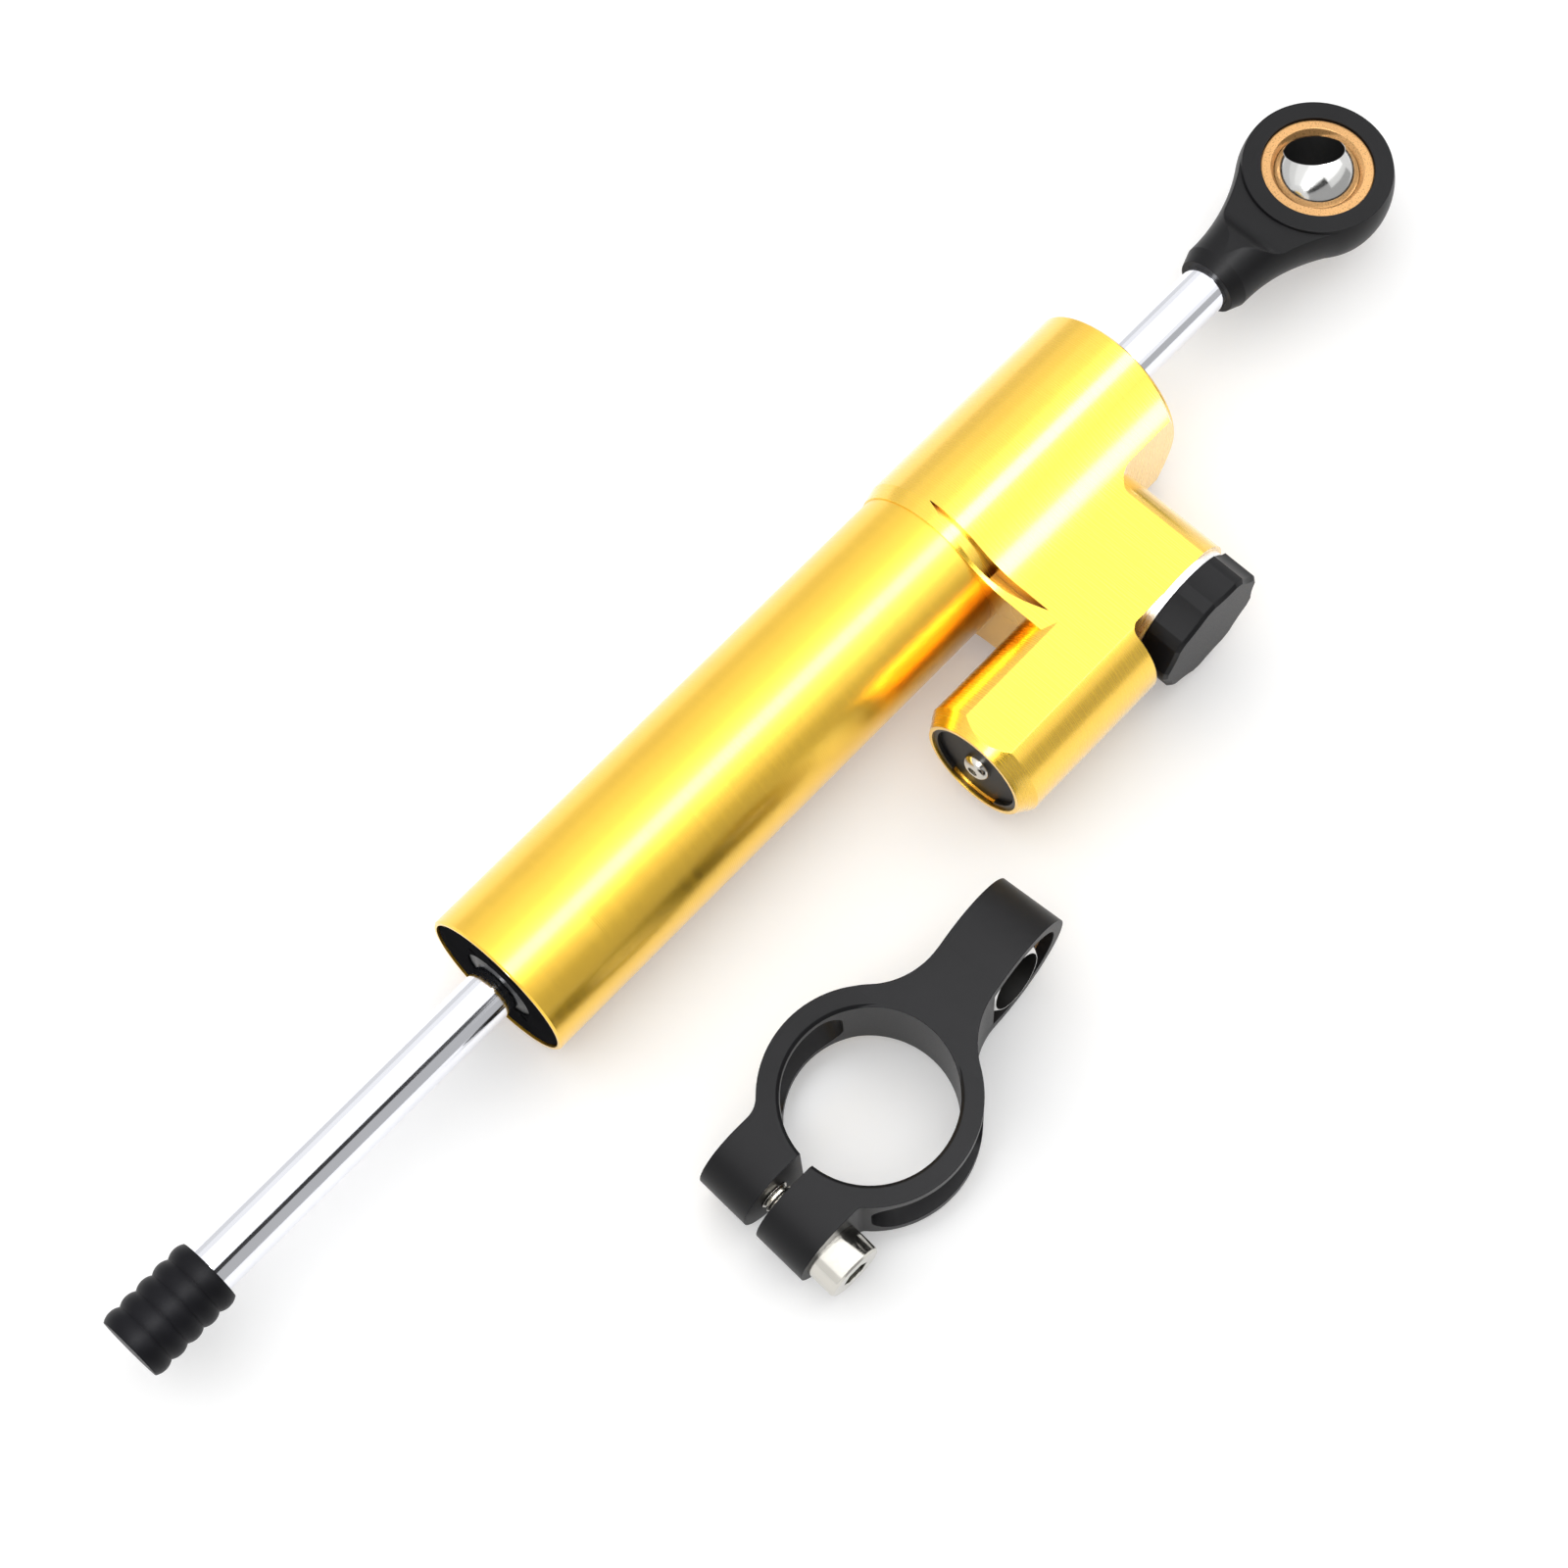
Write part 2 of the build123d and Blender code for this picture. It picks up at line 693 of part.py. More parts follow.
# The blend is a turned flare about the rod, flattened above and below
drop_end_x = -neck_drop_start + neck_drop_length
eye_face_radius = sqrt(eye_radius**2 - eye_half_height**2)
with BuildPart() as rod_end:
    with BuildSketch(Plane.XY):
        with BuildLine():
            Polyline(
                (eye_touch[0], 0),
                (neck_start_x, 0),
                (neck_start_x, neck_tip_radius),
                (neck_start_x + neck_taper_length, neck_radius),
                (blend_x, neck_radius),
            )
            ThreePointArc((blend_x, neck_radius), eye_blend_middle, eye_touch)
            Line(eye_touch, (eye_touch[0], 0))
        make_face()
    revolve(axis=barrel_axis)
    with BuildSketch(Plane.XZ):
        with BuildLine():
            Line((neck_start_x, 0), (neck_start_x, neck_radius))
            Line((neck_start_x, neck_radius), (-neck_drop_start, neck_radius))
            Spline(
                (-neck_drop_start, neck_radius),
                (drop_end_x, eye_blend_half_height),
                tangents=((1, 0), (1, 0)),
            )
            Polyline(
                (drop_end_x, eye_blend_half_height),
                (eye_touch[0], eye_blend_half_height),
                (eye_touch[0], 0),
                (neck_start_x, 0),
            )
        make_face()
        mirror(about=Plane.XZ)
    extrude(amount=eye_radius, both=True, mode=Mode.INTERSECT)
    with BuildSketch(Plane.XZ):
        with BuildLine():
            Polyline(
                (eye_face_radius, -eye_half_height),
                (0, -eye_half_height),
                (0, eye_half_height),
                (eye_face_radius, eye_half_height),
            )
            ThreePointArc(
                (eye_face_radius, eye_half_height),
                (eye_radius, 0),
                (eye_face_radius, -eye_half_height),
            )
        make_face()
    revolve(axis=Axis.Z)
    with BuildSketch(along_x(neck_start_x)):
        Circle(rod_radius + seat_gap)
    extrude(amount=rod_thread_depth + seat_gap, mode=Mode.SUBTRACT)
    with BuildSketch(Plane.XY.offset(-eye_half_height)):
        Circle(race_radius + seat_gap)
    extrude(amount=2 * eye_half_height, mode=Mode.SUBTRACT)
finish(rod_end.part, "rod_end_body")


# The bevel at each mouth of a race runs in to the sphere
race_throat_radius = sqrt((ball_radius + running_gap) ** 2 - (race_half_width - race_bevel_depth) ** 2)


def bearing_race(plane, name):
    """A bronze race: a short ring bored to a sphere, with its axis along the plane's normal."""
    with BuildPart() as race:
        with BuildSketch(plane):
            Circle(race_radius)
        extrude(amount=race_half_width, both=True)
        chamfer(race.edges(), length=fine_edge)
        with BuildSketch(Plane(origin=plane.origin, x_dir=plane.z_dir, z_dir=plane.x_dir)):
            with BuildLine():
                Line((-ball_radius - running_gap, 0), (ball_radius + running_gap, 0))
                CenterArc((0, 0), ball_radius + running_gap, 0, 180)
            make_face()
            for side in (1, -1):
                with BuildLine():
                    Polyline(
                        (side * (race_half_width - race_bevel_depth), 0),
                        (side * (race_half_width - race_bevel_depth), race_throat_radius),
                        (side * race_half_width, race_mouth_radius),
                        (side * race_half_width, 0),
                        close=True,
                    )
                make_face()
        revolve(axis=Axis(plane.origin, plane.z_dir), mode=Mode.SUBTRACT)
    finish(race.part, name)


def bearing_ball(plane, name):
    """A steel ball with flat faces and a bore along the plane's normal."""
    with BuildPart() as ball:
        with BuildSketch(Plane(origin=plane.origin, x_dir=plane.z_dir, z_dir=plane.x_dir)):
            with BuildLine():
                Line((-ball_radius, 0), (ball_radius, 0))
                CenterArc((0, 0), ball_radius, 0, 180)
            make_face()
        revolve(axis=Axis(plane.origin, plane.z_dir))
        with BuildSketch(plane.offset(-ball_half_width)):
            Circle(ball_radius)
            Circle(ball_bore_radius, mode=Mode.SUBTRACT)
        extrude(amount=2 * ball_half_width, mode=Mode.INTERSECT)
    finish(ball.part, name)


# Rod end bearing: the ball rests with its bore leaning away from the upright
lean = radians(rod_end_ball_tilt)
lean_way = radians(rod_end_ball_azimuth)
rod_end_ball_plane = Plane(
    origin=(0, 0, 0),
    x_dir=(-sin(lean_way), cos(lean_way), 0),
    z_dir=(sin(lean) * cos(lean_way), sin(lean) * sin(lean_way), cos(lean)),
)
bearing_race(Plane.XY, "rod_end_race")
bearing_ball(rod_end_ball_plane, "rod_end_ball")


def across_adjuster(y):
    """The plane across the adjuster's axis, facing out along -Y."""
    return Plane(origin=(adjuster_x, y, 0), x_dir=(1, 0, 0), z_dir=(0, -1, 0))


# Silver click plate between the boss and the knob, with the hole of the click ball
with BuildPart() as click_plate:
    with BuildSketch(across_adjuster(click_plate_y)):
        Circle(click_plate_radius)
        Circle(spindle_radius + edge_break, mode=Mode.SUBTRACT)
        with Locations((-detent_circle, 0)):
            Circle(detent_ball_radius + running_gap, mode=Mode.SUBTRACT)
    extrude(amount=click_plate_thickness)
finish(click_plate.part, "click_plate")

# Adjuster knob: shallow scallops round the rim, a click track and dimples underneath
ball_top_y = knob_back_y - detent_lift
ball_centre_y = ball_top_y + detent_ball_radius
track_half_width = sqrt(detent_ball_radius**2 - (detent_ball_radius - detent_lift - knob_gap) ** 2)
spindle_tip_y = knob_face_y + knob_skin
with BuildPart() as knob:
    with BuildSketch(across_adjuster(knob_back_y)):
        Circle(knob_radius)
        with PolarLocations(knob_radius + knob_scallop_radius - knob_scallop_depth, knob_scallop_count):
            Circle(knob_scallop_radius, mode=Mode.SUBTRACT)
    extrude(amount=knob_thickness)
    chamfer(knob.faces().sort_by(Axis.Y)[0].edges(), length=knob_edge)
    with BuildSketch(across_adjuster(knob_back_y)):
        Circle(detent_circle + track_half_width + running_gap)
        Circle(detent_circle - track_half_width - running_gap, mode=Mode.SUBTRACT)
    extrude(amount=detent_lift + running_gap, mode=Mode.SUBTRACT)
    with BuildSketch(across_adjuster(knob_back_y - detent_lift - running_gap)):
        with PolarLocations(detent_circle, detent_count):
            Circle(detent_ball_radius / 2)
    extrude(amount=detent_dimple_depth, mode=Mode.SUBTRACT)
    with BuildSketch(across_adjuster(knob_back_y)):
        Circle(spindle_radius + seat_gap)
    extrude(amount=knob_back_y - spindle_tip_y + seat_gap, mode=Mode.SUBTRACT)
finish(knob.part, "adjuster_knob")

# Adjuster spindle: shank in the knob, flange under the clip and a square tongue for the needle
flange_out_y = spindle_clip_y + clip_width + running_gap
flange_in_y = flange_out_y + spindle_flange_length
flange_radius = spindle_bore_radius - running_gap
flange_groove_y = (flange_out_y + flange_in_y) / 2
with BuildPart() as spindle:
    with BuildSketch(across_adjuster(flange_out_y)):
        Circle(spindle_radius)
    extrude(amount=flange_out_y - spindle_tip_y)
    with BuildSketch(across_adjuster(flange_in_y)):
        Circle(flange_radius)
    extrude(amount=spindle_flange_length)
    with BuildSketch(across_adjuster(flange_groove_y + ring_width / 2)):
        Circle(flange_radius)
        Circle(spindle_bore_radius - ring_depth, mode=Mode.SUBTRACT)
    extrude(amount=ring_width, mode=Mode.SUBTRACT)
    with BuildSketch(across_adjuster(flange_in_y + tongue_length)):
        Rectangle(tongue_side, tongue_side)
    extrude(amount=tongue_length)
finish(spindle.part, "adjuster_spindle")
finish(o_ring(across_adjuster(flange_groove_y), spindle_bore_radius - o_ring_section - seat_gap),
       "spindle_o_ring")

# Clip that keeps the spindle in the boss
with BuildPart() as spindle_clip:
    with BuildSketch(across_adjuster(spindle_clip_y + clip_width)):
        Circle(spindle_bore_radius + clip_depth - seat_gap)
        Circle(spindle_radius + edge_break, mode=Mode.SUBTRACT)
        with Locations((spindle_bore_radius, 0)):
            Rectangle(2 * spindle_radius, spindle_radius, mode=Mode.SUBTRACT)
    extrude(amount=clip_width)
finish(spindle_clip.part, "spindle_clip")

# Needle: threaded body with a square socket and a conical tip in the seat hole
needle_in_y = -needle_stop - tongue_gap
needle_out_y = needle_in_y - needle_length
with BuildPart() as needle:
    with BuildSketch(adjuster_plane):
        with BuildLine():
            Polyline(
                (0, needle_in_y + needle_tip_length),
                (needle_tip_radius, needle_in_y),
                (needle_radius, needle_in_y),
                (needle_radius, needle_out_y),
                (0, needle_out_y),
                close=True,
            )
        make_face()
    revolve(axis=adjuster_axis)
    with BuildSketch(across_adjuster(flange_in_y + tongue_length + tongue_gap)):
        Rectangle(tongue_side + 2 * running_gap, tongue_side + 2 * running_gap)
    extrude(amount=tongue_length + needle_length, mode=Mode.SUBTRACT)
finish(needle.part, "needle")

# Click ball and its spring in the pocket of the boss
with BuildPart() as detent_ball:
    with BuildSketch(Plane(origin=(click_hole_x, ball_centre_y, 0))):
        with BuildLine():
            Line((0, -detent_ball_radius), (0, detent_ball_radius))
            CenterArc((0, 0), detent_ball_radius, -90, 180)
        make_face()
    revolve(axis=Axis((click_hole_x, ball_centre_y, 0), (0, 1, 0)))
finish(detent_ball.part, "detent_ball")


def coil_spring(start, direction, length, coil_radius, wire_radius, turns, name):
    """A round-wire coil spring between two stations along a direction."""
    travel = length - 2 * wire_radius
    with BuildPart() as spring:
        with BuildLine() as path:
            Helix(
                pitch=travel / turns,
                height=travel,
                radius=coil_radius - wire_radius,
                center=start + direction * wire_radius,
                direction=direction,
            )
        with BuildSketch(Plane(origin=path.line @ 0, z_dir=path.line % 0)):
            Circle(wire_radius)
        sweep(path=path.line, is_frenet=True)
    finish(spring.part, name)


detent_spring_start = ball_centre_y + detent_ball_radius
detent_spring_length = -boss_reach + detent_hole_depth - detent_spring_start
coil_spring(Vector(click_hole_x, detent_spring_start, 0), Vector(0, 1, 0), detent_spring_length - seat_gap,
            detent_ball_radius - running_gap, detent_spring_wire, detent_spring_turns, "detent_spring")

# Reservoir: floating piston with its ring, the spring behind it and the plug in front
floating_radius = reservoir_bore_radius - running_gap
floating_groove_x = floating_piston_x + floating_piston_length / 2
with BuildPart() as floating_piston:
    with BuildSketch(along_x(floating_piston_x, -reservoir_offset)):
        Circle(floating_radius)
    extrude(amount=floating_piston_length)
    with BuildSketch(along_x(floating_groove_x - ring_width / 2, -reservoir_offset)):
        Circle(reservoir_bore_radius)
        Circle(reservoir_bore_radius - ring_depth, mode=Mode.SUBTRACT)
    extrude(amount=ring_width, mode=Mode.SUBTRACT)
finish(floating_piston.part, "floating_piston")
finish(o_ring(along_x(floating_groove_x, -reservoir_offset),
              reservoir_bore_radius - o_ring_section - seat_gap), "floating_piston_o_ring")

plug_start_x = plug_face_x + plug_clip_width
plug_radius = plug_seat_radius - seat_gap
plug_groove_x = (plug_start_x + plug_back_x) / 2
plug_centre_plane = along_x(plug_start_x, -reservoir_offset)
with BuildPart() as reservoir_plug:
    with BuildSketch(plug_centre_plane):
        Circle(plug_radius)
    extrude(amount=plug_thickness)
    chamfer(reservoir_plug.faces().sort_by(Axis.X)[0].edges(), length=plug_edge)
    with BuildSketch(along_x(plug_groove_x - ring_width / 2, -reservoir_offset)):
        Circle(plug_seat_radius)
        Circle(plug_seat_radius - ring_depth, mode=Mode.SUBTRACT)
    extrude(amount=ring_width, mode=Mode.SUBTRACT)
    with BuildSketch(plug_centre_plane):
        Circle(fill_screw_radius + seat_gap)
    extrude(amount=plug_thickness, mode=Mode.SUBTRACT)
finish(reservoir_plug.part, "reservoir_plug")
finish(o_ring(along_x(plug_groove_x, -reservoir_offset), plug_seat_radius - o_ring_section - seat_gap),
       "plug_o_ring")

with BuildPart() as plug_clip:
    with BuildSketch(along_x(plug_face_x, -reservoir_offset)):
        Circle(plug_seat_radius + plug_clip_rise - seat_gap)
        Circle(plug_seat_radius + plug_clip_rise - plug_clip_reach, mode=Mode.SUBTRACT)
        with Locations((0, -plug_seat_radius)):
            Rectangle(plug_seat_radius, plug_seat_radius, mode=Mode.SUBTRACT)
    extrude(amount=plug_clip_width - seat_gap)
finish(plug_clip.part, "plug_clip")

# Fill screw: domed head with a hex socket, in the middle of the plug
with BuildPart() as fill_screw:
    with BuildSketch(reservoir_plane):
        with BuildLine():
            head_top_x = plug_start_x - fill_screw_head_height
            screw_end_x = plug_back_x + fill_screw_reach
            flat_top_radius = fill_screw_head_radius * fill_screw_flat_share
            dome_middle_x = plug_start_x - fill_screw_head_height * fill_screw_dome_share
            dome_middle_radius = fill_screw_head_radius * fill_screw_dome_share
            Polyline(
                (head_top_x, flat_top_radius),
                (head_top_x, 0),
                (screw_end_x, 0),
                (screw_end_x, fill_screw_radius),
                (plug_start_x, fill_screw_radius),
                (plug_start_x, fill_screw_head_radius),
            )
            ThreePointArc(
                (plug_start_x, fill_screw_head_radius),
                (dome_middle_x, dome_middle_radius),
                (head_top_x, flat_top_radius),
            )
        make_face()
    revolve(axis=reservoir_axis)
    with BuildSketch(along_x(head_top_x, -reservoir_offset)):
        RegularPolygon(radius=fill_screw_socket / 2, side_count=6, major_radius=False)
    extrude(amount=fill_screw_socket_depth, mode=Mode.SUBTRACT)
finish(fill_screw.part, "fill_screw")

coil_spring(Vector(plug_back_x + seat_gap, -reservoir_offset, 0), Vector(1, 0, 0),
            floating_piston_from_plug - 2 * seat_gap, reservoir_bore_radius * reservoir_coil_share,
            reservoir_spring_wire, reservoir_spring_turns, "reservoir_spring")

# Clamp bracket: it lies on the foot of its ears and on its taller eye, so it leans a little
turn_of_ears = radians(ear_turn)
foot_reach = ear_reach * cos(turn_of_ears) + ear_half_width * sin(turn_of_ears)
bracket_lean = asin((bracket_eye_radius - ring_half_height) / (arm_reach + foot_reach))
yaw = radians(bracket_yaw)
bracket_z = floor_z + ring_half_height + foot_reach * sin(bracket_lean)
bracket_plane = Plane(
    origin=(bracket_x, bracket_y, bracket_z),
    x_dir=(cos(yaw) * cos(bracket_lean), sin(yaw) * cos(bracket_lean), sin(bracket_lean)),
    z_dir=(-cos(yaw) * sin(bracket_lean), -sin(yaw) * sin(bracket_lean), cos(bracket_lean)),
)
bracket_side = Plane(origin=bracket_plane.origin, x_dir=bracket_plane.x_dir, z_dir=-bracket_plane.y_dir)

# The ears are turned a little about the ring's axis, against the line of the arm
ear_plane = Plane(
    origin=bracket_plane.origin,
    x_dir=bracket_plane.x_dir * cos(turn_of_ears) - bracket_plane.y_dir * sin(turn_of_ears),
    z_dir=bracket_plane.z_dir,
)
ear_side = Plane(origin=ear_plane.origin, x_dir=ear_plane.x_dir, z_dir=-ear_plane.y_dir)
ear_centre = (-ear_reach * cos(turn_of_ears), ear_reach * sin(turn_of_ears))


# Side outline: ring height, ears rounded at their ends, arm growing to the round eye
ring_radius = ring_bore_radius + ring_wall
with BuildPart() as bracket_outline:
    with BuildSketch(bracket_side):
        with Locations((arm_reach, 0)):
            Circle(bracket_eye_radius)
        Rectangle(2 * arm_taper_start, 2 * ring_half_height)
        with BuildLine():
            Polyline(
                (arm_taper_start, -ring_half_height),
                (arm_reach, -bracket_eye_radius),
                (arm_reach, bracket_eye_radius),
                (arm_taper_start, ring_half_height),
                close=True,
            )
        make_face()
    extrude(amount=ring_radius + overrun, both=True)
    with BuildSketch(ear_side):
        with Locations((-ear_reach, 0)):
            Circle(ring_half_height)
        with Locations(((ring_radius - ear_reach) / 2, 0)):
            Rectangle(ring_radius + ear_reach, 2 * ring_half_height)
    extrude(amount=ring_radius + overrun, both=True)

# Lightening slots through the two sides of the ring
with BuildPart() as lightening:
    with BuildSketch(bracket_plane):
        for side in (1, -1):
            with BuildLine():
                slot_first = radians(side * lightening_start)
                slot_last = radians(side * (180 - lightening_ear_gap) - ear_turn)
                slot_middle = (slot_first + slot_last) / 2
                slot_angles = (slot_first, slot_middle, slot_last)
                inside = ring_bore_radius - overrun
                outside = ring_radius + overrun
                inside_points = [(inside * cos(angle), inside * sin(angle)) for angle in slot_angles]
                outside_points = [(outside * cos(angle), outside * sin(angle)) for angle in slot_angles]
                ThreePointArc(*inside_points)
                Line(inside_points[-1], outside_points[-1])
                ThreePointArc(*outside_points)
                Line(outside_points[0], inside_points[0])
            make_face()
    extrude(amount=lightening_half_height, both=True)
    slot_corners = lightening.edges().filter_by(GeomType.LINE).filter_by(
        lambda edge: abs(edge.tangent_at(0).dot(bracket_plane.z_dir)) < seat_gap
    )
    fillet(slot_corners, radius=lightening_fillet)

bracket_length = arm_reach + bracket_eye_radius
race_plane = Plane(
    origin=bracket_plane.origin + bracket_plane.x_dir * arm_reach,
    x_dir=bracket_plane.x_dir,
    z_dir=-bracket_plane.y_dir,
)
bolt_reach = ear_reach + bolt_offset
bolt_plane = Plane(
    origin=ear_plane.origin - ear_plane.x_dir * bolt_reach - ear_plane.y_dir * ear_half_width,
    x_dir=ear_plane.x_dir,
    z_dir=ear_plane.y_dir,
)


def at_ring_corner(corner):
    """Tell whether a corner of the plan lies on the ring's outer circle."""
    return abs(sqrt(corner.X**2 + corner.Y**2) - ring_radius) < seat_gap


with BuildPart() as clamp_body:
    with BuildSketch(bracket_plane.offset(-bracket_eye_radius)) as plan:
        Circle(ring_radius)
        with Locations((bracket_length / 2, 0)):
            Rectangle(bracket_length, 2 * arm_half_width)
        with Locations(ear_centre):
            Rectangle(2 * ring_half_height, 2 * ear_half_width, rotation=-ear_turn)
        ear_corners = plan.vertices().filter_by(at_ring_corner).sort_by(Axis.X)[:2]
        fillet(ear_corners.sort_by(Axis.Y)[-1], radius=ear_fillet)
        bolt_corner = plan.vertices().filter_by(at_ring_corner).sort_by(Axis.Y)[0]
        fillet(bolt_corner, radius=bolt_side_fillet)
        fillet(plan.vertices().filter_by(at_ring_corner).group_by(Axis.X)[-1], radius=arm_fillet)
    extrude(amount=2 * bracket_eye_radius)
    add(bracket_outline.part, mode=Mode.INTERSECT)
    with BuildSketch(ear_plane):
        Circle(ring_bore_radius)
        with Locations((-ear_reach, 0)):
            Rectangle(2 * ear_reach, 2 * split_half_gap)
    extrude(amount=bracket_eye_radius, both=True, mode=Mode.SUBTRACT)
    bore_edges = clamp_body.edges().filter_by(GeomType.CIRCLE).filter_by(
        lambda edge: abs(edge.radius - ring_bore_radius) < seat_gap
    )
    chamfer(bore_edges, length=ring_edge)
    add(lightening.part, mode=Mode.SUBTRACT)
    with BuildSketch(bolt_plane):
        Circle(bolt_radius + running_gap)
    extrude(amount=2 * ear_half_width, mode=Mode.SUBTRACT)
    with BuildSketch(race_plane):
        Circle(race_radius + seat_gap)
    extrude(amount=arm_half_width, both=True, mode=Mode.SUBTRACT)
finish(clamp_body.part, "clamp_body")

# Bearing of the bracket's eye: the ball's bore leans up a little
bracket_lean_up = radians(bracket_ball_tilt)
bracket_ball_plane = Plane(
    origin=race_plane.origin,
    x_dir=bracket_plane.x_dir,
    z_dir=race_plane.z_dir * cos(bracket_lean_up) + bracket_plane.z_dir * sin(bracket_lean_up),
)
bearing_race(race_plane, "clamp_race")
bearing_ball(bracket_ball_plane, "clamp_ball")

# Clamp bolt: socket head on the ear towards -Y, thread through the gap into the other ear
bolt_length = 2 * ear_half_width - bolt_tip_inset
thread_count = int((bolt_length - bolt_tip_inset) / bolt_pitch)
with BuildPart() as clamp_bolt:
    with BuildSketch(Plane(origin=bolt_plane.origin, x_dir=bolt_plane.x_dir, z_dir=bracket_plane.z_dir)):
        with BuildLine():
            thread_points = [(0, -bolt_head_height), (bolt_head_radius - edge_break, -bolt_head_height)]
            thread_points += [(bolt_head_radius, -bolt_head_height + edge_break), (bolt_head_radius, 0)]
            thread_points += [(bolt_radius, 0), (bolt_radius, bolt_tip_inset)]
            for turn in range(thread_count):
                crest = bolt_tip_inset + turn * bolt_pitch
                thread_points += [(bolt_radius - bolt_thread_depth, crest + bolt_pitch / 2)]
                thread_points += [(bolt_radius, crest + bolt_pitch)]
            thread_points += [(bolt_radius - bolt_thread_depth, bolt_length), (0, bolt_length)]
            Polyline(*thread_points, close=True)
        make_face()
    revolve(axis=Axis(bolt_plane.origin, bolt_plane.z_dir))
    with BuildSketch(bolt_plane.offset(-bolt_head_height)):
        RegularPolygon(radius=bolt_socket / 2, side_count=6, major_radius=False)
    extrude(amount=bolt_socket_depth, mode=Mode.SUBTRACT)
finish(clamp_bolt.part, "clamp_bolt")
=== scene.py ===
"""Dress a motorcycle steering damper and its clamp bracket, and set them in a plain studio."""

import logging
import math
from dataclasses import dataclass, field
from enum import Enum
from typing import Iterable, Sequence

import bmesh
import bpy
from mathutils import Matrix, Quaternion, Vector


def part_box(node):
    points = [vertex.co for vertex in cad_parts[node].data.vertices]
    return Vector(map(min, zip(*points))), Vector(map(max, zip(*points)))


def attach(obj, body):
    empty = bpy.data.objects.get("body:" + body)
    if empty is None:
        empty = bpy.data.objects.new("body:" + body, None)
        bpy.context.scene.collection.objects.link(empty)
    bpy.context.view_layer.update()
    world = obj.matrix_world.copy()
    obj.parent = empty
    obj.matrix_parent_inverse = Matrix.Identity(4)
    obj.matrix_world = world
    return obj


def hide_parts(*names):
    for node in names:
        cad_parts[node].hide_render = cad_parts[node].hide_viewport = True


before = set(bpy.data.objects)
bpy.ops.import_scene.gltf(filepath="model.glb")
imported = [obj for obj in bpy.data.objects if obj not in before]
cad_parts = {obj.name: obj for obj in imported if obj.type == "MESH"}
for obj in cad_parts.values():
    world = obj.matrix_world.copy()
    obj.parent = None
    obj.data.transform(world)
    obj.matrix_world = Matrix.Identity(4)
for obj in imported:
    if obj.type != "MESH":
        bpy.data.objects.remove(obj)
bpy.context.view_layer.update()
log = logging.getLogger("damper")

Point = tuple[float, float]
Span = tuple[float, float]
Colour = tuple[float, float, float, float]

MM = 0.001
WHITE: Colour = (1.0, 1.0, 1.0, 1.0)
UNIT_RANGE: Span = (0.0, 1.0)
# The strengths between which a noise pattern has most of its values
PATTERN_RANGE: Span = (0.3, 0.7)
# The soft clouds in every finish's colour, and the marks in its gloss
CLOUD_SIZE = 14 * MM
CLOUD_DETAIL = 3.0
MARK_DETAIL = 2.0
# How fine turned and brushed marks are along their length, as a share of across it
GRAIN_STRETCH = 0.02
COAT_ROUGHNESS_SHARE = 0.5
# How many rays look for close walls, and for edges to soften
COVER_SAMPLES = 8
EDGE_SAMPLES = 4


class Body(Enum):
    """The bodies that the made pieces ride on."""

    DAMPER = "damper_body"
    ROD_END_PIVOT = "rod_end_pivot"
    BRACKET_PIVOT = "bracket_pivot"


class Slot(Enum):
    """The finishes named in the part's record."""

    GOLD = "gold_anodised"
    BLACK = "black_anodised"
    CHROME = "chrome_rod"
    RUBBER = "black_rubber"
    RACE = "race_bronze"
    BALL = "ball_steel"
    PLATED = "plated_steel"
    SPRING = "spring_steel"
    CLICK_PLATE = "click_plate_metal"
    SEAL = "seal_rubber"
    BUSH = "bush_bronze"
    CLIP = "clip_steel"


class Grain(Enum):
    """The ways that a tool or a mould leaves its mark on a surface."""

    TURNED = "rings about the barrel's axis"
    BRUSHED = "lines along the barrel's axis"
    BLASTED = "an even fine grain"


@dataclass(frozen=True)
class PaintedShade:
    """Painted shade: how a surface's colour is darkened where walls stand close around it."""

    reach: float
    dark: Colour
    low: float
    high: float


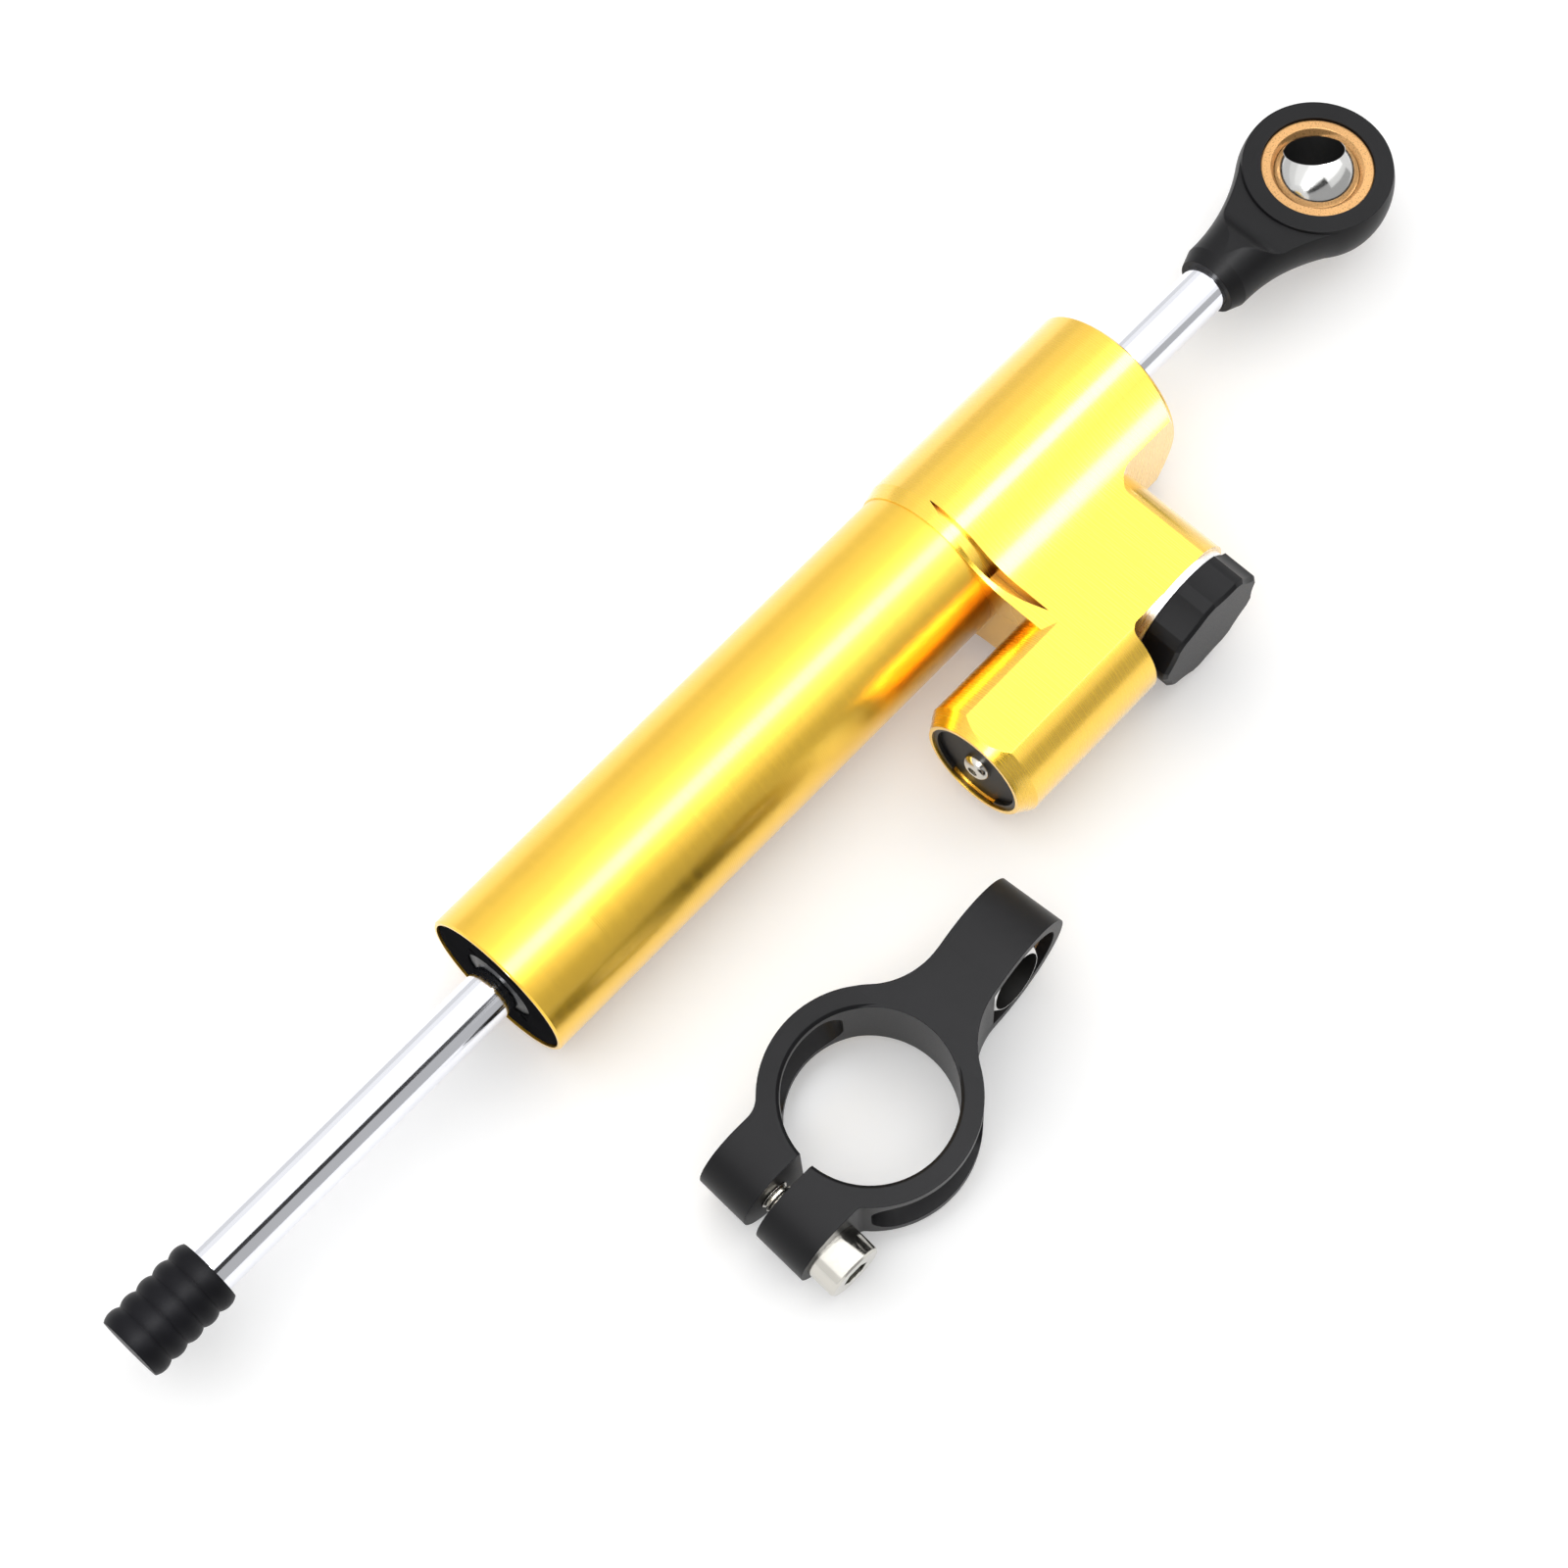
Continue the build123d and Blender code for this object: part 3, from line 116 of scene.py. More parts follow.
@dataclass
class ShaderGraph:
    """A material, or the world, with short ways to add and join its nodes."""

    material: bpy.types.Material | bpy.types.World

    @classmethod
    def named(cls, name: str) -> "ShaderGraph":
        """Start a material without nodes.

        Args:
            name: the material's name.

        Returns:
            The graph of the new material.
        """
        material = bpy.data.materials.new(name)
        material.use_nodes = True
        material.node_tree.nodes.clear()
        return cls(material)

    def add(self, kind: str, **settings: object) -> bpy.types.Node:
        """Add one node.

        Args:
            kind: Blender's name for the node type.
            settings: properties of the node, or inputs given by their names.

        Returns:
            The new node.
        """
        node = self.material.node_tree.nodes.new(kind)
        for key, value in settings.items():
            label = key.replace("_", " ")
            if label in node.inputs:
                node.inputs[label].default_value = value
            else:
                setattr(node, key, value)
        return node

    def join(self, source: bpy.types.NodeSocket, target: bpy.types.NodeSocket) -> None:
        """Run one node's output into another node's input."""
        self.material.node_tree.links.new(source, target)

    def place(self, scale: Sequence[float]) -> bpy.types.NodeSocket:
        """Give the surface's own coordinates, stretched.

        Args:
            scale: how many times finer than a metre along x, y and z.

        Returns:
            The stretched coordinates.
        """
        where = self.add("ShaderNodeTexCoord")
        mapping = self.add("ShaderNodeMapping", Scale=scale)
        self.join(where.outputs["Object"], mapping.inputs["Vector"])
        return mapping.outputs["Vector"]

    def noise(self, scale: Sequence[float], detail: float) -> bpy.types.NodeSocket:
        """Give a soft random pattern.

        Args:
            scale: how fine the pattern is along x, y and z.
            detail: how many finer layers lie over it.

        Returns:
            The pattern's strength, from 0 to 1.
        """
        pattern = self.add("ShaderNodeTexNoise", Scale=1.0, Detail=detail)
        self.join(self.place(scale), pattern.inputs["Vector"])
        return pattern.outputs["Fac"]

    def remap(self, source: bpy.types.NodeSocket, given: Span, wanted: Span) -> bpy.types.NodeSocket:
        """Map a value from one range onto another, stopping at its ends.

        Args:
            source: the value.
            given: the lowest and the highest value that count.
            wanted: what those two become.

        Returns:
            The mapped value.
        """
        mapped = self.add("ShaderNodeMapRange")
        for label, value in zip(("From Min", "From Max", "To Min", "To Max"), given + wanted):
            mapped.inputs[label].default_value = value
        self.join(source, mapped.inputs["Value"])
        return mapped.outputs["Result"]

    def blend(self, source: bpy.types.NodeSocket, first: Colour, second: Colour) -> bpy.types.NodeSocket:
        """Blend two colours by a pattern.

        Args:
            source: the pattern, from 0 to 1.
            first: the colour of its dark parts.
            second: the colour of its bright parts.

        Returns:
            The blended colour.
        """
        ramp = self.add("ShaderNodeValToRGB")
        for element, position, colour in zip(ramp.color_ramp.elements, PATTERN_RANGE, (first, second)):
            element.position = position
            element.color = colour
        self.join(source, ramp.inputs["Fac"])
        return ramp.outputs["Color"]

    def paint_shade(self, colour: bpy.types.NodeSocket, painted_shade: PaintedShade) -> bpy.types.NodeSocket:
        """Paint shade into a colour where walls stand close around it.

        Args:
            colour: the colour out in the open.
            painted_shade: the painted shade, with how far off a wall counts and the colour painted there.

        Returns:
            The darkened colour.
        """
        # Painted shade: ambient occlusion darkens the colour in corners, gaps and scoops, standing in for
        # the shade there
        cover = self.add("ShaderNodeAmbientOcclusion", samples=COVER_SAMPLES, Distance=painted_shade.reach)
        share = self.remap(cover.outputs["AO"], (painted_shade.low, painted_shade.high), UNIT_RANGE)
        mix = self.add("ShaderNodeMix", data_type="RGBA")
        self.join(share, mix.inputs["Factor"])
        dark, light = (socket for socket in mix.inputs if socket.type == "RGBA")
        dark.default_value = painted_shade.dark
        self.join(colour, light)
        return next(socket for socket in mix.outputs if socket.type == "RGBA")

    def bump(self, source: bpy.types.NodeSocket, height: float, edge: float = 0.0) -> bpy.types.NodeSocket:
        """Raise the surface by a pattern, over edges that are softened first.

        Args:
            source: the pattern, from 0 to 1.
            height: how far it stands up, in metres.
            edge: the radius that edges are softened to, in metres, or 0 to leave them.

        Returns:
            The surface's new normal.
        """
        raised = self.add("ShaderNodeBump", Strength=1.0, Distance=height)
        self.join(source, raised.inputs["Height"])
        if edge > 0:
            softened = self.add("ShaderNodeBevel", samples=EDGE_SAMPLES, Radius=edge)
            self.join(softened.outputs["Normal"], raised.inputs["Normal"])
        return raised.outputs["Normal"]


def shade(red: float, green: float, blue: float, factor: float = 1.0) -> Colour:
    """Give a colour with full cover, made lighter or darker by a factor."""
    return (min(red * factor, 1.0), min(green * factor, 1.0), min(blue * factor, 1.0), 1.0)


@dataclass(frozen=True)
class Finish:
    """A surface: its colour, its gloss, the marks that its making left, and any painted shade."""

    slot: Slot
    colour: Colour
    metallic: float
    roughness: float
    grain: Grain = Grain.BLASTED
    colour_change: float = 0.06
    roughness_change: float = 0.05
    grain_height: float = 0.002 * MM
    grain_size: float = 0.25 * MM
    edge: float = 0.15 * MM
    specular: float = 0.5
    coat: float = 0.0
    # Painted shade that darkens the colour in corners and gaps, or None
    painted_shade: PaintedShade | None = None
    place: str = ""

    def grain_scale(self) -> Sequence[float]:
        """Give how fine the grain is.

        Returns:
            How many times finer than a metre it is along x, y and z.
        """
        fine = 1.0 / self.grain_size
        if self.grain is Grain.TURNED:
            return (fine, fine * GRAIN_STRETCH, fine * GRAIN_STRETCH)
        if self.grain is Grain.BRUSHED:
            return (fine * GRAIN_STRETCH, fine, fine)
        return (fine, fine, fine)

    def material(self) -> bpy.types.Material:
        """Make this finish's material, unless it was made before.

        Returns:
            The material, which every piece in this finish shares.
        """
        made = bpy.data.materials.get(self.name)
        if made is not None:
            return made
        graph = ShaderGraph.named(self.name)
        surface = graph.add("ShaderNodeBsdfPrincipled")
        output = graph.add("ShaderNodeOutputMaterial")
        graph.join(surface.outputs["BSDF"], output.inputs["Surface"])
        surface.inputs["Metallic"].default_value = self.metallic
        surface.inputs["Specular IOR Level"].default_value = self.specular
        surface.inputs["Coat Weight"].default_value = self.coat
        surface.inputs["Coat Roughness"].default_value = self.roughness * COAT_ROUGHNESS_SHARE
        cloud = graph.noise((1 / CLOUD_SIZE,) * 3, CLOUD_DETAIL)
        marks = graph.noise(self.grain_scale(), MARK_DETAIL)
        dark = shade(*self.colour[:3], factor=1 - self.colour_change)
        light = shade(*self.colour[:3], factor=1 + self.colour_change)
        colour = graph.blend(cloud, dark, light)
        # Paint shade into the colour where walls stand close around
        if self.painted_shade is not None:
            colour = graph.paint_shade(colour, self.painted_shade)
        graph.join(colour, surface.inputs["Base Color"])
        gloss = (self.roughness - self.roughness_change, self.roughness + self.roughness_change)
        graph.join(graph.remap(marks, PATTERN_RANGE, gloss), surface.inputs["Roughness"])
        graph.join(graph.bump(marks, self.grain_height, self.edge), surface.inputs["Normal"])
        return graph.material

    @property
    def name(self) -> str:
        """Give the material's name: the slot, the grain and where it is used."""
        return f"{self.slot.value}_{self.grain.name.lower()}{self.place}"


# Painted shade: dark brown painted into the gold in the scoop and the gaps by the web and the tube, standing
# in for the shade there
PAINTED_GAP_SHADE = PaintedShade(reach=14 * MM, dark=(0.4, 0.16, 0.015, 1.0), low=0.15, high=0.5)
GOLD = Finish(
    Slot.GOLD, shade(1.0, 0.62, 0.06), metallic=1.0, roughness=0.27, grain=Grain.TURNED, colour_change=0.02,
    roughness_change=0.03, grain_height=0.0005 * MM, grain_size=0.3 * MM, edge=0.25 * MM, coat=1.0,
    painted_shade=PAINTED_GAP_SHADE)
TUBE_GOLD = Finish(
    Slot.GOLD, shade(1.0, 0.62, 0.06), metallic=1.0, roughness=0.32, grain=Grain.TURNED, colour_change=0.02,
    roughness_change=0.04, grain_height=0.0005 * MM, grain_size=0.3 * MM, edge=0.0, coat=0.6,
    painted_shade=PAINTED_GAP_SHADE, place="_tube")
BLACK = Finish(
    Slot.BLACK, shade(0.007, 0.007, 0.008), metallic=0.0, roughness=0.4, colour_change=0.15,
    roughness_change=0.05, grain_height=0.003 * MM, grain_size=0.12 * MM, edge=0.25 * MM, specular=0.15)
DULL_BLACK = Finish(
    Slot.BLACK, shade(0.012, 0.012, 0.013), metallic=0.0, roughness=0.6, grain=Grain.TURNED,
    colour_change=0.15, grain_height=0.002 * MM, edge=0.0, specular=0.0)
CHROME = Finish(
    Slot.CHROME, shade(0.86, 0.87, 0.92), metallic=1.0, roughness=0.08, grain=Grain.BRUSHED,
    colour_change=0.02, roughness_change=0.03, grain_height=0.0002 * MM, grain_size=0.3 * MM, edge=0.0)
RUBBER = Finish(
    Slot.RUBBER, shade(0.004, 0.004, 0.006), metallic=0.0, roughness=0.45, colour_change=0.2,
    roughness_change=0.08, grain_height=0.006 * MM, grain_size=0.18 * MM, edge=0.2 * MM, specular=0.13)
RACE = Finish(
    Slot.RACE, shade(0.58, 0.32, 0.12), metallic=0.5, roughness=0.3, colour_change=0.08, grain_size=0.3 * MM,
    grain_height=0.001 * MM, edge=0.3 * MM)
BALL = Finish(
    Slot.BALL, shade(0.66, 0.66, 0.65), metallic=1.0, roughness=0.14, colour_change=0.04,
    roughness_change=0.04, grain_height=0.0003 * MM, grain_size=0.5 * MM, edge=0.0)
# Painted shade: the inside of a ball's bore is painted near-black, standing in for the shadow inside it
BALL_BORE_PAINTED_SHADE = Finish(
    Slot.BALL, shade(0.012, 0.012, 0.012), metallic=0.0, roughness=0.45, grain=Grain.TURNED,
    colour_change=0.1, edge=0.0, specular=0.2)
PLATED = Finish(
    Slot.PLATED, shade(0.62, 0.6, 0.55), metallic=1.0, roughness=0.16, colour_change=0.04,
    grain_height=0.0006 * MM, grain_size=0.5 * MM)
SPRING = Finish(Slot.SPRING, shade(0.46, 0.46, 0.45), metallic=1.0, roughness=0.3, colour_change=0.08)
CLICK_PLATE = Finish(Slot.CLICK_PLATE, shade(0.9, 0.9, 0.9), metallic=1.0, roughness=0.3, colour_change=0.03)
SEAL = Finish(Slot.SEAL, shade(0.01, 0.01, 0.01), metallic=0.0, roughness=0.42, colour_change=0.1)
BUSH = Finish(Slot.BUSH, shade(0.62, 0.42, 0.2), metallic=1.0, roughness=0.35, grain=Grain.TURNED)
CLIP = Finish(Slot.CLIP, shade(0.06, 0.06, 0.06), metallic=1.0, roughness=0.4, colour_change=0.1)


@dataclass
class Lathe:
    """Turns outlines about one axis."""

    origin: Vector
    axis: Vector
    segments: int = 96
    sharp_angle: float = math.radians(34)

    def matrix(self) -> Matrix:
        """Give the placing of a turned piece, with its own z along the axis."""
        turn = self.axis.to_track_quat("Z", "Y").to_matrix().to_4x4()
        return Matrix.Translation(self.origin) @ turn

    def turn(self, name: str, outline: Sequence[Point], rings: Iterable[int] = ()) -> bpy.types.Object:
        """Turn a closed outline.

        Args:
            name: the piece's name.
            outline: its corners as (station along the axis, radius), in order.
            rings: the numbers of the corners that stay sharp all round.

        Returns:
            The turned piece.
        """
        work = bmesh.new()
        angles = [2 * math.pi * step / self.segments for step in range(self.segments)]
        rows = []
        for station, radius in outline:
            places = [(radius * math.cos(angle), radius * math.sin(angle), station) for angle in angles]
            rows.append([work.verts.new(place) for place in places])
        for first, second in zip(rows, rows[1:] + rows[:1]):
            join_rows(work, first, second)
        for index in rings:
            row = rows[index]
            for first, second in zip(row, row[1:] + row[:1]):
                work.edges.get((first, second)).smooth = False
        work.transform(self.matrix())
        return finish_mesh(name, work, self.sharp_angle)


def join_rows(work: bmesh.types.BMesh, first: list, second: list) -> None:
    """Join two rings with the same number of corners by a band of faces."""
    for corners in zip(first, first[1:] + first[:1], second[1:] + second[:1], second):
        work.faces.new(corners)


def finish_mesh(name: str, work: bmesh.types.BMesh, sharp_angle: float) -> bpy.types.Object:
    """Turn a finished working mesh into an object in the scene.

    Args:
        name: the piece's name.
        work: the working mesh, which is freed.
        sharp_angle: edges that turn more than this stay sharp.

    Returns:
        The new object.
    """
    bmesh.ops.recalc_face_normals(work, faces=work.faces)
    for face in work.faces:
        face.smooth = True
    for edge in work.edges:
        if len(edge.link_faces) == 2 and edge.calc_face_angle(0.0) > sharp_angle:
            edge.smooth = False
    mesh = bpy.data.meshes.new(name)
    work.to_mesh(mesh)
    work.free()
    made = bpy.data.objects.new(name, mesh)
    bpy.context.scene.collection.objects.link(made)
    return made


def settle(piece: bpy.types.Object, body: Body, finish: Finish, node: str) -> None:
    """Give a new piece its finish and its body, and hide the node that it stands for.

    Args:
        piece: the new piece, in its place.
        body: what it moves with.
        finish: its surface.
        node: the name of the node that it stands for.
    """
    piece.data.materials.append(finish.material())
    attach(piece, body.value)
    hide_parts(node)
    log.info("made %s on %s for %s", piece.name, body.value, node)


def dress(node: str, finish: Finish) -> None:
    """Give a node that stays as it is its finish.

    Args:
        node: the node's name.
        finish: its surface.
    """
    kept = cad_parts[node]
    kept.data.materials.clear()
    kept.data.materials.append(finish.material())
    for face in kept.data.polygons:
        face.material_index = 0
    log.info("dressed %s with %s", node, finish.name)


@dataclass
class Barrel:
    """The turned tube with the end cap that closes it."""

    turning_pitch: float = 0.42 * MM
    turning_depth: float = 0.011 * MM
    plain_band: float = 17.5 * MM
    edge: float = 0.35 * MM
    spigot_length: float = 14.0 * MM
    spigot_step: float = 1.0 * MM
    seat_wall: float = 0.8 * MM
    seat_length: float = 10.0 * MM
    wall: float = 3.0 * MM
    segments: int = 112

    def build(self) -> None:
        """Make the tube and dress the end cap and its seals."""
        low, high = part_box("barrel_tube")
        radius = high.z
        shoulder = high.x - self.spigot_length
        start = low.x + self.plain_band
        count = int((shoulder - start) / self.turning_pitch)
        outline = [
            (low.x, radius - self.seat_wall),
            (low.x, radius - self.edge),
            (low.x + self.edge, radius),
            (start, radius),
        ]
        first_ring = len(outline)
        for ring in range(count):
            crest = start + ring * self.turning_pitch
            outline.append((crest + self.turning_pitch / 2, radius - self.turning_depth))
            outline.append((crest + self.turning_pitch, radius))
        rings = range(first_ring, len(outline))
        outline += [
            (shoulder, radius),
            (shoulder, radius - self.spigot_step),
            (high.x, radius - self.spigot_step),
            (high.x, radius - self.wall),
            (low.x + self.seat_length, radius - self.wall),
            (low.x + self.seat_length, radius - self.seat_wall),
        ]
        tube = Lathe(Vector(), Vector((1, 0, 0)), self.segments).turn("turned_tube", outline, rings)
        settle(tube, Body.DAMPER, TUBE_GOLD, "barrel_tube")
        dress("end_cap", DULL_BLACK)
        dress("end_cap_wiper", SEAL)
        dress("end_cap_o_ring", SEAL)
        dress("end_cap_bush", BUSH)


@dataclass
class Head:
    """The gold housing with its web, boss and reservoir."""

    def build(self) -> None:
        """Dress the housing and what is pressed into its rod hole."""
        dress("head_housing", GOLD)
        dress("head_wiper", SEAL)
        dress("head_bush", BUSH)
        dress("tube_o_ring", SEAL)


@dataclass
class Rod:
    """The chromed rod with its rubber cap and the piston on it."""

    def build(self) -> None:
        """Dress the rod, the rubber cap and the piston."""
        dress("piston_rod", CHROME)
        dress("rubber_cap", RUBBER)
        dress("piston", BLACK)
        dress("piston_ring", SEAL)
        dress("piston_clips", CLIP)


@dataclass
class BearingBall:
    """A steel ball with flat faces, whose bore is painted near-black inside as painted shade."""

    radius: float = 9.0 * MM
    half_width: float = 6.6 * MM
    bore_radius: float = 6.0 * MM
    steps: int = 24

    def outline(self) -> list[Point]:
        """Draw the ball's round side and its bore.

        Returns:
            The corners of the closed outline as (station along the bore, radius).
        """
        swing = math.asin(self.half_width / self.radius)
        angles = [swing * (2 * step / self.steps - 1) for step in range(self.steps + 1)]
        round_side = [(self.radius * math.sin(angle), self.radius * math.cos(angle)) for angle in angles]
        return round_side + [(self.half_width, self.bore_radius), (-self.half_width, self.bore_radius)]

    def build(self, name: str, node: str, axis: Vector, body: Body) -> None:
        """Make one ball with its bore along an axis.

        Args:
            name: the piece's name.
            node: the node that it stands for.
            axis: the direction of the bore.
            body: what it moves with.
        """
        low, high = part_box(node)
        centre = (low + high) / 2
        ball = Lathe(centre, axis).turn(name, self.outline())
        settle(ball, body, BALL, node)
        # Painted shade on the faces inside the bore
        ball.data.materials.append(BALL_BORE_PAINTED_SHADE.material())
        for face in ball.data.polygons:
            off_centre = face.center - centre
            if (off_centre - axis * off_centre.dot(axis)).length < self.bore_radius:
                face.material_index = 1


@dataclass
class RodEnd:
    """The black eye on the rod with its spherical bearing."""

    ball: BearingBall = field(default_factory=BearingBall)
    ball_tilt: float = math.radians(30.0)
    ball_azimuth: float = math.radians(54.5)

    def build(self) -> None:
        """Dress the eye and its race, and make the ball with its bore leaning over."""
        dress("rod_end_body", BLACK)
        dress("rod_end_race", RACE)
        level = Vector((math.cos(self.ball_azimuth), math.sin(self.ball_azimuth), 0))
        axis = level * math.sin(self.ball_tilt) + Vector((0, 0, math.cos(self.ball_tilt)))
        self.ball.build("rod_end_steel_ball", "rod_end_ball", axis, Body.ROD_END_PIVOT)


@dataclass
class Adjuster:
    """The knob with its click plate, its spindle and the needle."""

    def build(self) -> None:
        """Dress the knob and what works under it."""
        dress("adjuster_knob", BLACK)
        dress("click_plate", CLICK_PLATE)
        dress("adjuster_spindle", PLATED)
        dress("spindle_o_ring", SEAL)
        dress("spindle_clip", CLIP)
        dress("needle", PLATED)
        dress("detent_ball", BALL)
        dress("detent_spring", SPRING)


@dataclass
class Reservoir:
    """The plug of the reservoir with the floating piston and spring behind it."""

    def build(self) -> None:
        """Dress the plug and what it closes in."""
        dress("reservoir_plug", BLACK)
        dress("plug_clip", CLIP)
        dress("fill_screw", PLATED)
        dress("plug_o_ring", SEAL)
        dress("floating_piston", BLACK)
        dress("floating_piston_o_ring", SEAL)
        dress("reservoir_spring", SPRING)


@dataclass
class Bracket:
    """The split clamp with its bolt and its own spherical bearing."""

    ball: BearingBall = field(default_factory=BearingBall)
    yaw: float = math.radians(4.5)
    lean: float = math.radians(4.067)
    ball_lean: float = math.radians(9.0)

    def build(self) -> None:
        """Dress the clamp, its race and its bolt, and make the ball with its bore leaning up."""
        dress("clamp_body", BLACK)
        dress("clamp_race", RACE)
        dress("clamp_bolt", PLATED)
        across = Vector((math.sin(self.yaw), -math.cos(self.yaw), 0))
        along = Vector((math.cos(self.yaw), math.sin(self.yaw), 0))
        upright = Vector((0, 0, math.cos(self.lean))) - along * math.sin(self.lean)
        axis = across * math.cos(self.ball_lean) + upright * math.sin(self.ball_lean)
        self.ball.build("clamp_steel_ball", "clamp_ball", axis, Body.BRACKET_PIVOT)


@dataclass
class PhotoCamera:
    """A camera where the photographer stood."""

    location: Vector = field(default_factory=lambda: Vector((-0.34344, -0.17294, 0.58355)))
    forward: Vector = field(default_factory=lambda: Vector((0.27998, 0.25669, -0.92505)))
    roll: float = math.radians(0.366)
    lens: float = 78.61
    sensor: float = 36.0
    nearest: float = 0.01

    def build(self) -> None:
        """Make the camera and look through it."""
        data = bpy.data.cameras.new("photo_camera")
        data.lens = self.lens
        data.sensor_width = self.sensor
        data.sensor_fit = "HORIZONTAL"
        data.clip_start = self.nearest
        camera = bpy.data.objects.new("photo_camera", data)
        bpy.context.scene.collection.objects.link(camera)
        camera.location = self.location
        level = self.forward.to_track_quat("-Z", "Y")
        turn = Quaternion(self.forward.normalized(), -self.roll)
        camera.rotation_mode = "QUATERNION"
        camera.rotation_quaternion = turn @ level
        bpy.context.scene.camera = camera


@dataclass(frozen=True)
class Board:
    """A long board overhead that only the gloss of a surface sees, between two angles from the upright."""

    name: str
    low_angle: float
    high_angle: float
    level: float
    start: float = -1.5
    end: float = 1.2
    distance: float = 0.8

    def build(self) -> None:
        """Make the board; its angles are in degrees and lean out towards the reservoir's side."""
        corners = []
        for angle in (math.radians(self.low_angle), math.radians(self.high_angle)):
            y, z = -self.distance * math.sin(angle), self.distance * math.cos(angle)
            corners += [(self.start, y, z), (self.end, y, z)]
        mesh = bpy.data.meshes.new(self.name)
        mesh.from_pydata(corners, [], [(0, 1, 3, 2)])
        graph = ShaderGraph.named(self.name)
        glow = graph.add("ShaderNodeEmission", Color=WHITE, Strength=self.level)
        output = graph.add("ShaderNodeOutputMaterial")
        graph.join(glow.outputs["Emission"], output.inputs["Surface"])
        mesh.materials.append(graph.material)
        board = bpy.data.objects.new(self.name, mesh)
        bpy.context.scene.collection.objects.link(board)
        board.visible_camera = False
        board.visible_diffuse = False
        board.visible_shadow = False
        board.visible_transmission = False


# The x at which the near side's boards change from the rod's set to the others
SPLIT_X = -0.085
BOARDS = (
    Board("board_far_low", -92, -68, 0.8),
    Board("board_far", -68, -46, 1.0),
    Board("board_far_high", -46, -17, 1.23),
    Board("board_top_far", -17, 3.5, 1.6),
    Board("board_strip", 3.5, 19.5, 10.0),
    Board("board_top_near", 19.5, 43, 1.6, start=SPLIT_X),
    Board("board_rod_first", 19.5, 29, 1.3, end=SPLIT_X),
    Board("board_rod_dark", 29, 46, 0.045, end=SPLIT_X),
    Board("board_near_high", 43, 60, 1.0, start=SPLIT_X),
    Board("board_rod_last", 46, 60, 0.5, end=SPLIT_X),
    Board("board_near", 60, 92, 0.5),
)


